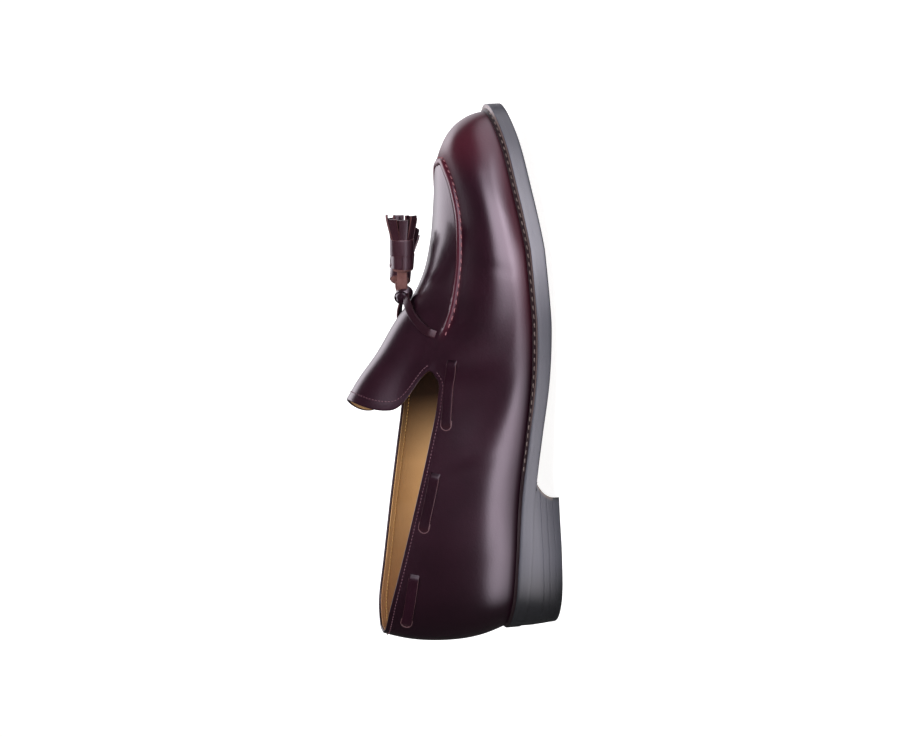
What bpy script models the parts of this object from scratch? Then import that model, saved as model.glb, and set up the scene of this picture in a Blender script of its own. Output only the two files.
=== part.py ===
"""A right tassel loafer standing on its sole: leather sole and stacked heel, welt, hollow lasted
upper with a raised apron seam and a tongue lip, collar lace, and a knot with two fringed tassels.

Frame: +X to the toe, +Y to the medial side, +Z up, the floor at Z = 0. Tables are in millimetres,
with x counted from the rearmost point of the upper."""
import bpy
import numpy as np

MM = 0.001
LENGTH = 300.0
SEAT_BACK = 4.0
GAP = 0.3
LATERAL = -1
MEDIAL = 1
SIDES = (LATERAL, MEDIAL)
SIDE_NAMES = {LATERAL: "lateral", MEDIAL: "medial"}

WELT_THICK = 2.9
WELT_INSET = 0.3
WELT_HOLD = 3.2
WALL = 2.0
INSOLE_INSET = 3.6
INSOLE_RISE = 2.6
FLAT_BACK = 172.0
FLAT_FRONT = 212.0
FLAT_HALF = 24.0
FLAT_SHARE = 0.6

HEEL_BREAST = 77.5
BREAST_SWEEP = 9.5
HEEL_FRONT = 13.0
BREAST_MEDIAL = 4.0
BREAST_HOLLOW = 5.0
HEEL_TAPER = 0.07
HEEL_INSET = 0.4
HEEL_LEVELS = (0.0, 3.7, 7.3, 10.9)

SEAM_START = 166.0
SEAM_FADE = 12.0
SEAM_HEIGHT = 1.3
SEAM_WIDTH = 2.6
NOTCH = 153.0
RIDGE_PULL = 0.40
EDGE_PULL = 0.35
TOE_FAN = 235.0

LACE_WIDTH = 5.6
LACE_THICK = 1.4
TIE_WIDTH = 4.5
TIE_THICK = 1.5
TIE_STATIONS = (174.0, 198.0)
TIE_SHARES = (0.16, 0.74)
LACE_GAP = 0.45
KNOT_X = 192.0
KNOT_HALF = (6.5, 6.0, 4.0)
KNOT_CLEAR = 0.7
KNOT_SQUARE = 0.75

SOLE_RIBS = 61
INSOLE_RIBS = 41
HEEL_RIBS = 19
HEEL_COLUMNS = 9
QUARTER_RIBS = 23
VAMP_RIBS = 27
KNOT_RINGS = 9
KNOT_TURNS = 17

# The sole's edge: station, half-widths to each side, welt that shows beyond the upper
SOLE = np.array([
    # station, lateral, medial, lateral_welt, medial_welt
    (4.0, 0.0, 0.0, 1.5, 1.5),
    (10.0, 18.6, 18.6, 1.5, 1.5),
    (22.0, 29.0, 29.0, 1.5, 1.5),
    (45.0, 34.6, 34.6, 1.6, 1.5),
    (80.0, 37.0, 33.0, 1.8, 1.4),
    (110.0, 43.8, 30.4, 2.4, 1.4),
    (145.0, 55.0, 37.0, 4.0, 3.0),
    (180.0, 61.6, 46.6, 5.0, 5.2),
    (205.0, 60.2, 50.2, 5.0, 5.5),
    (230.0, 53.4, 47.8, 5.0, 5.5),
    (258.0, 41.7, 41.0, 4.6, 5.0),
    (280.0, 29.6, 31.0, 4.3, 4.5),
    (293.5, 17.6, 19.4, 4.2, 4.2),
    (300.0, 0.0, 0.0, 4.2, 4.2),
])

# The underside: heel seat, arch, flat tread and toe spring, with the rise of its long edges
TREAD = np.array([
    # x, height, edge_rise, thickness
    (4.0, 20.8, 0.0, 4.9),
    (45.0, 17.2, 0.0, 4.9),
    (80.0, 13.2, 0.3, 4.9),
    (110.0, 7.6, 1.6, 5.0),
    (145.0, 2.0, 3.0, 5.4),
    (172.0, 0.0, 3.8, 5.7),
    (212.0, 0.0, 4.4, 5.7),
    (245.0, 3.6, 3.2, 5.7),
    (275.0, 7.8, 1.2, 5.7),
    (300.0, 12.6, 0.0, 5.7),
])

# The upper edge of the side wall: topline, then notch, then apron seam
EDGE = np.array([
    # station, x, lateral_y, lateral_z, medial_y, medial_z
    (4.0, 6.7, 0.0, 97.0, 0.0, 97.0),
    (10.0, 11.0, 11.5, 96.6, 11.5, 97.0),
    (22.0, 23.0, 20.5, 94.6, 20.5, 95.6),
    (45.0, 45.0, 26.0, 88.4, 26.0, 91.0),
    (80.0, 80.0, 30.0, 78.2, 31.5, 84.0),
    (110.0, 110.0, 32.5, 69.8, 34.8, 77.8),
    (135.0, 135.0, 33.2, 63.4, 36.0, 73.0),
    (145.0, 145.0, 33.3, 62.2, 35.8, 71.8),
    (153.0, 153.0, 33.0, 65.5, 34.6, 73.5),
    (165.0, 165.0, 33.6, 60.5, 32.4, 68.0),
    (180.0, 180.0, 35.0, 53.4, 30.8, 60.0),
    (200.0, 200.0, 35.2, 48.2, 30.4, 52.6),
    (230.0, 229.0, 32.0, 45.0, 28.3, 47.6),
    (258.0, 250.0, 25.0, 45.8, 22.6, 47.4),
    (280.0, 264.0, 15.5, 47.8, 14.4, 48.4),
    (300.0, 270.0, 0.0, 49.0, 0.0, 49.0),
])

# How the wall swells between feather and edge: reach out and share of the height of both handles
SWELL = np.array([
    # station, lateral_belly, medial_belly, belly_up, shoulder_out, shoulder_down
    (4.0, 7.5, 7.5, 0.31, 8.7, 0.36),
    (45.0, 9.5, 9.5, 0.25, 11.5, 0.33),
    (80.0, 8.5, 10.0, 0.26, 12.0, 0.28),
    (110.0, 6.5, 10.5, 0.30, 12.0, 0.30),
    (145.0, 6.5, 9.5, 0.32, 11.5, 0.27),
    (180.0, 6.0, 6.5, 0.42, 16.0, 0.25),
    (205.0, 5.5, 5.0, 0.46, 18.5, 0.27),
    (230.0, 5.5, 5.0, 0.50, 17.5, 0.27),
    (258.0, 3.5, 3.5, 0.52, 15.5, 0.22),
    (280.0, 1.5, 1.5, 0.52, 14.5, 0.15),
    (300.0, -0.4, -0.4, 0.50, 14.5, 0.11),
])

# Where each rib ends on the instep ridge, and how far it bows back as the tongue's lip
RIDGE_FOOT = np.array([
    # station, x, bow
    (153.0, 139.0, -18.0),
    (165.0, 157.0, -7.0),
    (180.0, 177.5, -1.5),
    (200.0, 199.5, 0.0),
    (230.0, 227.0, 0.0),
    (258.0, 245.0, 0.0),
    (280.0, 257.0, 0.0),
    (300.0, 262.0, 0.0),
])

RIDGE = np.array([
    # x, height
    (139.0, 109.0),
    (150.0, 101.5),
    (163.0, 91.0),
    (181.0, 78.5),
    (193.0, 69.0),
    (208.0, 60.5),
    (221.0, 56.5),
    (244.0, 52.9),
    (262.0, 51.0),
])

# Lace that shows along the collar: front and back end of each strand
COLLAR_LACE = (
    # x_front, x_back, lateral_front_z, lateral_back_z, medial_front_z, medial_back_z
    (159.0, 119.0, 55.3, 61.0, 63.3, 68.3),
    (98.0, 63.0, 67.3, 76.6, 73.8, 80.8),
    (43.0, 12.5, 81.6, 87.2, 84.2, 87.6),
)

# Tassel, turned about its own axis: distance from the knot, radius, depth of the slits in the fringe
TASSEL = np.array([
    # along, radius, slit
    (0.0, 1.7, 0.0),
    (0.5, 2.5, 0.0),
    (1.3, 5.4, 0.0),
    (3.5, 6.5, 0.0),
    (11.0, 6.6, 0.0),
    (17.0, 6.7, 0.04),
    (19.0, 6.8, 0.12),
    (25.0, 7.4, 0.18),
    (30.0, 7.9, 0.22),
])
TASSEL_NECK = {LATERAL: 8.5, MEDIAL: 3.0}
TASSEL_START = (199.8, 5.0, 74.6)
TASSEL_END = {LATERAL: (240.0, 14.5, 74.0), MEDIAL: (238.0, 17.0, 67.0)}
FRINGE_STRIPS = 11
FRINGE_SIDES = 4
FRINGE_RAGGED = 1.6
FRINGE_HOLLOW = 3.0

LEATHER = ("burgundy_leather", (0.075, 0.022, 0.035), 0.28)
EDGE_LEATHER = ("dark_sole_leather", (0.045, 0.040, 0.042), 0.35)
WELT_LEATHER = ("welt_leather", (0.115, 0.085, 0.085), 0.5)
LINING_LEATHER = ("tan_leather", (0.50, 0.33, 0.18), 0.55)


def smooth(keys, values, at):
    """Cubic curve through the rows; its slope at a row comes from both neighbours."""
    slopes = np.gradient(values, keys)
    i = np.clip(np.searchsorted(keys, at, side="right") - 1, 0, len(keys) - 2)
    span = keys[i + 1] - keys[i]
    t = (at - keys[i]) / span
    low = (1 + 2 * t) * (1 - t) ** 2 * values[i] + t * (1 - t) ** 2 * span * slopes[i]
    return low + t * t * (3 - 2 * t) * values[i + 1] + t * t * (t - 1) * span * slopes[i + 1]


def angle_of(station):
    """Stations are spaced as the angle of a half circle, so that heel and toe come out round."""
    share = (np.asarray(station, float) - SEAT_BACK) / (LENGTH - SEAT_BACK)
    return np.arccos(np.clip(1 - 2 * share, -1, 1)) / np.pi


def station_of(u):
    return SEAT_BACK + (LENGTH - SEAT_BACK) * (1 - np.cos(np.pi * u)) / 2


def column(table, index, u):
    return smooth(angle_of(table[:, 0]), table[:, index], u)


def tread(x):
    """Height of the sole's underside along the middle, flat between the two ends of the tread."""
    height = np.maximum(smooth(TREAD[:, 0], TREAD[:, 1], np.clip(x, SEAT_BACK, LENGTH)), 0)
    return np.where((x > FLAT_BACK) & (x < FLAT_FRONT), 0, height)


def edge_tread(x):
    """Height of the underside at the sole's edge, which curls up a little beside the tread."""
    return tread(x) + smooth(TREAD[:, 0], TREAD[:, 2], np.clip(x, SEAT_BACK, LENGTH))


def sole_edge(u, side):
    return np.stack([station_of(u), side * column(SOLE, 1 if side == LATERAL else 2, u)], -1)


def outward(u, side):
    """Normal of the sole's edge, seen from above."""
    step = 1e-4
    along = sole_edge(np.minimum(u + step, 1), side) - sole_edge(np.maximum(u - step, 0), side)
    normal = side * np.stack([-along[..., 1], along[..., 0]], -1)
    return normal / np.linalg.norm(normal, axis=-1, keepdims=True)


def inset_edge(u, side, inset):
    """The sole's edge moved inwards, still closed on the centre line at heel and toe."""
    plan = sole_edge(u, side) - outward(u, side) * np.broadcast_to(inset, u.shape)[..., None]
    plan[..., 1] *= (u > 0) & (u < 1)
    return plan


def welt_margin(u, side):
    return column(SOLE, 3 if side == LATERAL else 4, u)


def sole_top(x):
    """Height of the outsole's upper face, level across at the height of its edge."""
    return edge_tread(x) + smooth(TREAD[:, 0], TREAD[:, 3], np.clip(x, SEAT_BACK, LENGTH))


def welt_top(x):
    return sole_top(x) + GAP + WELT_THICK


def bezier(p0, p1, p2, p3, t):
    t = t[..., None]
    return (1 - t) ** 3 * p0 + 3 * t * (1 - t) ** 2 * p1 + 3 * t * t * (1 - t) * p2 + t ** 3 * p3


def wall_handles(u, side):
    """The four handles of the wall's rib at u: feather, belly, shoulder and upper edge."""
    margin = welt_margin(u, side)
    plan = inset_edge(u, side, margin)
    feather = np.concatenate([plan, welt_top(plan[..., :1]) + GAP], -1)
    y_column = 2 if side == LATERAL else 4
    edge_y = side * np.maximum(column(EDGE, y_column, u), 0)
    edge = np.stack([column(EDGE, 1, u), edge_y, column(EDGE, y_column + 1, u)], -1)
    out = np.concatenate([outward(u, side), np.zeros(u.shape + (1,))], -1)
    out[..., 1] *= (u > 0) & (u < 1)
    up = np.array((0.0, 0.0, 1.0))
    rise = (edge - feather)[..., 2:]
    belly = column(SWELL, 1 if side == LATERAL else 2, u)[..., None]
    low = feather + belly * out + column(SWELL, 3, u)[..., None] * rise * up
    high = edge + column(SWELL, 4, u)[..., None] * out - column(SWELL, 5, u)[..., None] * rise * up
    return feather, low, high, edge


def wall_point(u, v, side):
    """The side wall: rib u from heel to toe, v from the feather up to the edge."""
    return bezier(*wall_handles(u, side), v)


def ridge_z(x):
    return smooth(RIDGE[:, 0], RIDGE[:, 1], x)


def apron_point(u, q, side):
    """Apron and tongue: rib u goes on from the wall's edge (q = 0) to the instep ridge (q = 1)."""
    _, _, shoulder, edge = wall_handles(u, side)
    ridge_x = column(RIDGE_FOOT, 1, u)
    ridge = np.stack([ridge_x, 0 * u, ridge_z(ridge_x)], -1)
    reach = np.linalg.norm(ridge - edge, axis=-1, keepdims=True)
    leave = (edge - shoulder) / np.linalg.norm(edge - shoulder, axis=-1, keepdims=True)
    arrive = ridge - edge
    arrive[..., 2] = 0
    arrive[..., 0] *= np.clip((station_of(u) - TOE_FAN) / (LENGTH - TOE_FAN), 0, 1)
    arrive /= np.linalg.norm(arrive, axis=-1, keepdims=True)
    point = bezier(edge, edge + EDGE_PULL * reach * leave, ridge - RIDGE_PULL * reach * arrive, ridge, q)
    point[..., 0] += column(RIDGE_FOOT, 2, u) * 27 / 4 * q * (1 - q) ** 2
    point[..., 1] *= (q < 1) & (u < 1)
    return point


def merged(points, faces):
    """Points that lie on each other made one."""
    _, first, index = np.unique(np.round(points, 4), axis=0, return_index=True, return_inverse=True)
    faces = [tuple(dict.fromkeys(index.reshape(-1)[list(face)])) for face in faces]
    return points[first], [face for face in faces if len(face) > 2]


def grid_faces(rows, columns, flip, start=0):
    """Quads of a grid that is numbered row by row."""
    quads = []
    for i in range(rows - 1):
        for j in range(columns - 1):
            a = start + i * columns + j
            quad = (a, a + columns, a + columns + 1, a + 1)
            quads.append(quad[::-1] if flip else quad)
    return quads


def point_normals(points, faces):
    """Mean normal of the faces round each point."""
    normals = np.zeros_like(points)
    for face in faces:
        corner = points[list(face)]
        area = np.cross(corner[2] - corner[0], corner[-1] - corner[1])
        for index in face:
            normals[index] += area
    return normals / np.linalg.norm(normals, axis=1, keepdims=True)


def rim_edges(faces):
    """Edges with one face only, in the direction of that face."""
    directed = {(face[k], face[(k + 1) % len(face)]) for face in faces for k in range(len(face))}
    return sorted(edge for edge in directed if edge[::-1] not in directed)


def shell(points, faces, inner):
    """Closed solid between an open surface and its inner copy."""
    count = len(points)
    inside = [tuple(count + index for index in face[::-1]) for face in faces]
    rim = [(b, a, a + count, b + count) for a, b in rim_edges(faces)]
    return np.concatenate([points, inner]), faces + inside + rim


def material(spec):
    name, colour, roughness = spec
    found = bpy.data.materials.get(name) or bpy.data.materials.new(name)
    found.use_nodes = True
    shader = found.node_tree.nodes["Principled BSDF"]
    shader.inputs["Base Color"].default_value = (*colour, 1)
    shader.inputs["Roughness"].default_value = roughness
    shader.inputs["Metallic"].default_value = 0
    return found


def add_piece(name, points, faces, spec, parent):
    points, faces = merged(np.asarray(points), faces)
    mesh = bpy.data.meshes.new(name)
    mesh.from_pydata((points * MM).tolist(), [], [tuple(map(int, face)) for face in faces])
    mesh.materials.append(material(spec))
    mesh.shade_smooth()
    mesh.set_sharp_from_angle(angle=0.8)
    piece = bpy.data.objects.new(name, mesh)
    piece.parent = parent
    bpy.context.scene.collection.objects.link(piece)


def plate(low, high):
    """Solid between two grids of points with the same rows and columns."""
    rows, columns = low.shape[:2]
    count = rows * columns
    points = np.concatenate([low.reshape(-1, 3), high.reshape(-1, 3)])
    under = grid_faces(rows, columns, True)
    top = grid_faces(rows, columns, False, count)
    sides = [(b, a, a + count, b + count) for a, b in rim_edges(under)]
    return points, under + top + sides


def across(lateral, medial, height, columns=2):
    """Grid from the lateral curve to the medial curve, at a height that depends on x."""
    share = np.linspace(0, 1, columns)[None, :, None]
    plan = lateral[:, None, :] * (1 - share) + medial[:, None, :] * share
    return np.concatenate([plan, height(plan[..., :1])], -1)


def build_outsole(parent):
    """The underside has a level strip along the middle and curls up to its edges."""
    u = np.concatenate([np.linspace(0, 1, SOLE_RIBS), angle_of((FLAT_BACK, FLAT_FRONT))])
    u.sort()
    lateral, medial = (inset_edge(u, side, 0) for side in SIDES)
    plan = np.stack([lateral, lateral, medial, medial], 1)
    plan[:, 1:3, 1] = np.clip(FLAT_SHARE * plan[:, 1:3, 1], -FLAT_HALF, FLAT_HALF)
    x = plan[..., 0]
    curl = np.array((1, 0, 0, 1))
    low = np.concatenate([plan, (tread(x) + curl * (edge_tread(x) - tread(x)))[..., None]], -1)
    high = np.concatenate([plan, sole_top(x)[..., None]], -1)
    add_piece("outsole", *plate(low, high), EDGE_LEATHER, parent)


def build_welt(parent):
    """Ring of oblong section between outsole and upper, its inner edge under the insole's edge."""
    u = np.linspace(0, 1, SOLE_RIBS)
    points = []
    faces = []
    for side in SIDES:
        outer = inset_edge(u, side, WELT_INSET)
        inner = inset_edge(u, side, welt_margin(u, side) + WELT_HOLD)
        corners = ((outer, WELT_THICK), (inner, WELT_THICK), (inner, 0), (outer, 0), (outer, WELT_THICK))
        section = []
        for plan, thick in corners:
            section.append(np.concatenate([plan, sole_top(plan[:, :1]) + GAP + thick], -1))
        faces += grid_faces(len(u), len(section), side == MEDIAL, len(points))
        points.extend(np.stack(section, 1).reshape(-1, 3))
    add_piece("welt", points, faces, WELT_LEATHER, parent)


def build_insole(parent):
    u = np.linspace(0, 1, INSOLE_RIBS)
    edges = [inset_edge(u, side, welt_margin(u, side) + INSOLE_INSET) for side in SIDES]
    low = across(*edges, lambda x: sole_top(x) + GAP)
    high = across(*edges, lambda x: welt_top(x) + INSOLE_RISE)
    add_piece("insole", *plate(low, high), LINING_LEATHER, parent)


def heel_outline(height):
    """Heel edge at one height: lateral and medial curve from the back to the breast."""
    breast = HEEL_BREAST + BREAST_SWEEP * (height / HEEL_FRONT) ** 3
    edges = []
    for side in SIDES:
        end = angle_of(breast + (BREAST_MEDIAL if side == MEDIAL else 0))
        inset = HEEL_INSET + HEEL_TAPER * (HEEL_FRONT - height)
        edges.append(inset_edge(np.linspace(0, end, HEEL_RIBS), side, inset))
    return edges


def heel_grid(height, top):
    grid = across(*heel_outline(height), lambda x: np.full_like(x, height), columns=HEEL_COLUMNS)
    share = np.linspace(0, 1, HEEL_COLUMNS)
    along = np.linspace(0, 1, len(grid))[:, None] ** 2
    grid[..., 0] -= BREAST_HOLLOW * along * 4 * share * (1 - share)
    if top:
        grid[..., 2] = tread(grid[..., 0]) - GAP
    return grid


def build_heel(parent):
    names = ("heel_top_piece", "heel_lift_1", "heel_lift_2", "heel_seat_lift")
    for index, name in enumerate(names):
        low = heel_grid(HEEL_LEVELS[index] + (GAP if index else 0), False)
        last = index == len(names) - 1
        high = heel_grid(HEEL_FRONT if last else HEEL_LEVELS[index + 1], last)
        add_piece(name, *plate(low, high), EDGE_LEATHER, parent)


def seam_lift(station, distance):
    """Raised apron seam: a rounded ridge along the wall's upper edge, fading in at its ends."""
    fade = np.clip((station - SEAM_START) / SEAM_FADE, 0, 1)
    return SEAM_HEIGHT * fade * np.exp(-(distance / SEAM_WIDTH) ** 2)


def half_upper(side, u, rows_wall, rows_apron):
    """One half of the upper's outer surface, with the seam's lift at each point."""
    wall = wall_point(u[:, None] + 0 * rows_wall, rows_wall + 0 * u[:, None], side)
    front = u[u >= angle_of(NOTCH) - 1e-9]
    apron = apron_point(front[:, None] + 0 * rows_apron, rows_apron + 0 * front[:, None], side)
    to_edge = np.linalg.norm(wall - wall[:, -1:], axis=-1)
    from_edge = np.linalg.norm(apron - apron[:, :1], axis=-1)
    lift_wall = seam_lift(station_of(u)[:, None], to_edge)
    lift_apron = seam_lift(station_of(front)[:, None], from_edge)
    faces = grid_faces(len(u), len(rows_wall), side == MEDIAL)
    faces += grid_faces(len(front), len(rows_apron), side == MEDIAL, wall.shape[0] * wall.shape[1])
    points = np.concatenate([wall.reshape(-1, 3), apron.reshape(-1, 3)])
    return points, faces, np.concatenate([lift_wall.ravel(), lift_apron.ravel()])


def build_upper(parent):
    notch = angle_of(NOTCH)
    u = np.concatenate([np.linspace(0, notch, QUARTER_RIBS)[:-1], np.linspace(notch, 1, VAMP_RIBS)])
    rows_wall = np.array((0, 0.1, 0.22, 0.36, 0.5, 0.64, 0.77, 0.88, 0.95, 1.0))
    rows_apron = np.array((0, 0.06, 0.14, 0.24, 0.36, 0.5, 0.66, 0.83, 1.0))
    points = np.zeros((0, 3))
    faces = []
    lift = np.zeros(0)
    for side in SIDES:
        half, quads, raised = half_upper(side, u, rows_wall, rows_apron)
        faces += [tuple(len(points) + index for index in quad) for quad in quads]
        points = np.concatenate([points, half])
        lift = np.concatenate([lift, raised])
    _, first = np.unique(np.round(points, 4), axis=0, return_index=True)
    lift = lift[first]
    points, faces = merged(points, faces)
    normals = point_normals(points, faces)
    foot = np.abs(points[:, 2] - welt_top(points[:, 0]) - GAP) < 0.01
    normals[foot, 2] = 0
    normals /= np.linalg.norm(normals, axis=1, keepdims=True)
    outer = points + normals * lift[:, None]
    add_piece("upper", *shell(outer, faces, points - normals * WALL), LEATHER, parent)


def strip(path, normals, width, thick):
    """Flat strap along a path on the upper, standing the gap clear of it."""
    along = np.gradient(path, axis=0)
    side = np.cross(normals, along)
    side /= np.linalg.norm(side, axis=1, keepdims=True)
    share = np.linspace(-0.5, 0.5, 3)[None, :, None]
    flat = path[:, None] + side[:, None] * share * width
    return plate(flat + normals[:, None] * LACE_GAP, flat + normals[:, None] * (LACE_GAP + thick))


def surface_normals(surface, u, v, side):
    """Outward normal of a surface of the upper, by small steps along both parameters."""
    step = 1e-3
    along = surface(u + step, v, side) - surface(u - step, v, side)
    up = surface(u, np.minimum(v + step, 1), side) - surface(u, np.maximum(v - step, 0), side)
    normal = side * np.cross(up, along)
    return normal / np.linalg.norm(normal, axis=-1, keepdims=True)


def build_collar_lace(parent):
    rows = np.linspace(0, 1, 60)
    for number, strand in enumerate(COLLAR_LACE, 1):
        u = angle_of(np.linspace(strand[0], strand[1], 12))
        for side in SIDES:
            ends = strand[2:4] if side == LATERAL else strand[4:6]
            rib_z = wall_point(u[:, None] + 0 * rows, rows + 0 * u[:, None], side)[..., 2]
            target = np.linspace(*ends, len(u))
            v = np.array([np.interp(z, rib, rows) for z, rib in zip(target, rib_z)])
            path = wall_point(u, v, side)
            normals = surface_normals(wall_point, u, v, side)
            solid = strip(path, normals, LACE_WIDTH, LACE_THICK)
            add_piece(f"collar_lace_{SIDE_NAMES[side]}_{number}", *solid, LEATHER, parent)


def build_ties(parent):
    """Lace from the hole at each end of the apron seam, over the instep, to the knot."""
    u = angle_of(np.linspace(*TIE_STATIONS, 10))
    q = np.linspace(*TIE_SHARES, 10)
    for side in SIDES:
        path = apron_point(u, q, side)
        solid = strip(path, surface_normals(apron_point, u, q, side), TIE_WIDTH, TIE_THICK)
        add_piece(f"tassel_lace_{SIDE_NAMES[side]}", *solid, LEATHER, parent)


def build_knot(parent):
    """Rounded knot, a ball squared off by a power of its sines."""
    theta = np.linspace(0, np.pi, KNOT_RINGS)[:, None]
    phi = np.linspace(0, 2 * np.pi, KNOT_TURNS)[None, :]
    ball = (np.sin(theta) * np.cos(phi), np.sin(theta) * np.sin(phi), np.cos(theta) + 0 * phi)
    axes = [np.sign(axis) * np.abs(axis) ** KNOT_SQUARE for axis in ball]
    slope = np.arctan(np.gradient(ridge_z(KNOT_X + np.array((-1, 0, 1))))[1])
    forward = np.array((np.cos(slope), 0, np.sin(slope)))
    normal = np.array((-np.sin(slope), 0, np.cos(slope)))
    points = np.array((KNOT_X, 0, ridge_z(KNOT_X))) + normal * (KNOT_HALF[2] + KNOT_CLEAR)
    for half, axis, way in zip(KNOT_HALF, axes, (forward, np.array((0, 1, 0)), normal)):
        points = points + half * axis[..., None] * way
    faces = grid_faces(KNOT_RINGS, KNOT_TURNS, False)
    add_piece("tassel_knot", points.reshape(-1, 3), faces, LEATHER, parent)


def build_tassels(parent):
    """Neck, wound head and flared fringe, whose strips are parted by slits and end unevenly."""
    turns = FRINGE_STRIPS * FRINGE_SIDES
    theta = np.linspace(0, 2 * np.pi, turns + 1)
    strips = np.abs(np.sin(FRINGE_STRIPS * theta / 2))
    along, radius, slit = (TASSEL[:, k][:, None] for k in range(3))
    rings = np.pad(radius * (1 - slit * (1 - strips) ** 2), ((1, 1), (0, 0)))
    ragged = (slit > slit.max() - 0.01) * FRINGE_RAGGED * np.sin(3 * theta + 0.6)
    for side in SIDES:
        reach = along + TASSEL_NECK[side] * (along > 0)
        hollow = ((0, reach[-1, 0] - FRINGE_HOLLOW), (0, 0))
        ends = np.pad(reach + ragged, ((1, 1), (0, 0)), constant_values=hollow)
        mirror = np.array((1, side, 1))
        start = np.array(TASSEL_START) * mirror
        axis = np.array(TASSEL_END[side]) * mirror - start
        axis /= np.linalg.norm(axis)
        level = np.cross((0, 0, 1), axis)
        level /= np.linalg.norm(level)
        rise = np.cross(axis, level)
        spoke = np.cos(theta)[:, None] * level + np.sin(theta)[:, None] * rise
        points = start + ends[..., None] * axis + rings[..., None] * spoke
        faces = grid_faces(len(rings), len(theta), True)
        add_piece(f"tassel_{SIDE_NAMES[side]}", points.reshape(-1, 3), faces, LEATHER, parent)


def build_shoe():
    for old in list(bpy.data.objects):
        bpy.data.objects.remove(old, do_unlink=True)
    shoe = bpy.data.objects.new("loafer", None)
    shoe.location = (-LENGTH / 2 * MM, (SOLE[:, 1].max() - SOLE[:, 2].max()) / 2 * MM, 0)
    bpy.context.scene.collection.objects.link(shoe)
    for build in (build_outsole, build_welt, build_heel, build_insole, build_upper,
                  build_collar_lace, build_ties, build_knot, build_tassels):
        build(shoe)


build_shoe()
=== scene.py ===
"""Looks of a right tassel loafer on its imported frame: polished burgundy upper with a hand-sewn apron,
tan lining and sock, stitched welt, inked sole and stacked heel, laced collar, knot and tassels."""

import bmesh
import bpy
import numpy as np
from mathutils import Matrix, Vector


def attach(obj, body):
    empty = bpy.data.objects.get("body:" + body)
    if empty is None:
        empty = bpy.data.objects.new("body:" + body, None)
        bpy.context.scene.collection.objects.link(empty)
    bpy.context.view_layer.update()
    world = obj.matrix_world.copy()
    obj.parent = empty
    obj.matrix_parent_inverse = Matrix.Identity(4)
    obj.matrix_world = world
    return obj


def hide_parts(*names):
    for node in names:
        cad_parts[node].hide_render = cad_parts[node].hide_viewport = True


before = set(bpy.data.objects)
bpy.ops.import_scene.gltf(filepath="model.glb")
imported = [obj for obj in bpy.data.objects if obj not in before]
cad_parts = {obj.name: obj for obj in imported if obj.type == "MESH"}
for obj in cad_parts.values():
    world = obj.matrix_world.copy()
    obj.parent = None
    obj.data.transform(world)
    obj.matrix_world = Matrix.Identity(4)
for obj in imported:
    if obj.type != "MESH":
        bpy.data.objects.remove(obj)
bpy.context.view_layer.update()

MM = 0.001
LENGTH = 300.0
SEAT_BACK = 4.0
SHIFT_X = -150.0
LATERAL = -1
MEDIAL = 1
SIDES = (LATERAL, MEDIAL)
SIDE_NAMES = {LATERAL: "lateral", MEDIAL: "medial"}

GAP = 0.3
WELT_THICK = 2.9
WELT_HOLD = 3.2
INSOLE_INSET = 3.6
INSOLE_RISE = 2.6
FLAT_BACK = 172.0
FLAT_FRONT = 212.0
FLAT_HALF = 24.0
FLAT_SHARE = 0.6

HEEL_BREAST = 77.5
BREAST_SWEEP = 9.5
HEEL_FRONT = 13.0
BREAST_MEDIAL = 4.0
BREAST_HOLLOW = 5.0
HEEL_TAPER = 0.07
HEEL_INSET = 0.4
HEEL_LEVELS = (0.0, 3.7, 7.3, 10.9)

NOTCH = 153.0
SEAM_START = 166.0
SEAM_FADE = 12.0
RIDGE_PULL = 0.40
EDGE_PULL = 0.35
TOE_FAN = 235.0
BOW_PEAK = 27 / 4
BOW_RISE = (-0.10, 0.42)
LEATHER_THICK = 1.4
LINING_THICK = 0.55

# The sole's edge: station, half-widths to each side, welt that shows beyond the upper
SOLE = np.array([
    # station, lateral, medial, lateral_welt, medial_welt
    (4.0, 0.0, 0.0, 1.5, 1.5),
    (10.0, 18.6, 18.6, 1.5, 1.5),
    (22.0, 29.0, 29.0, 1.5, 1.5),
    (45.0, 34.6, 34.6, 1.6, 1.5),
    (80.0, 37.0, 33.0, 1.8, 1.4),
    (110.0, 43.8, 30.4, 2.4, 1.4),
    (145.0, 55.0, 37.0, 4.0, 3.0),
    (180.0, 61.6, 46.6, 5.0, 5.2),
    (205.0, 60.2, 50.2, 5.0, 5.5),
    (230.0, 53.4, 47.8, 5.0, 5.5),
    (258.0, 41.7, 41.0, 4.6, 5.0),
    (280.0, 29.6, 31.0, 4.3, 4.5),
    (293.5, 17.6, 19.4, 4.2, 4.2),
    (300.0, 0.0, 0.0, 4.2, 4.2),
])
SHIFT_Y = (SOLE[:, 1].max() - SOLE[:, 2].max()) / 2
SHIFT = np.array((SHIFT_X, SHIFT_Y, 0.0))

# The underside: heel seat, arch, flat tread and toe spring, with the rise of its long edges
TREAD = np.array([
    # x, height, edge_rise, thickness
    (4.0, 20.8, 0.0, 4.9),
    (45.0, 17.2, 0.0, 4.9),
    (80.0, 13.2, 0.3, 4.9),
    (110.0, 7.6, 1.6, 5.0),
    (145.0, 2.0, 3.0, 5.4),
    (172.0, 0.0, 3.8, 5.7),
    (212.0, 0.0, 4.4, 5.7),
    (245.0, 3.6, 3.2, 5.7),
    (275.0, 7.8, 1.2, 5.7),
    (300.0, 12.6, 0.0, 5.7),
])

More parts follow.
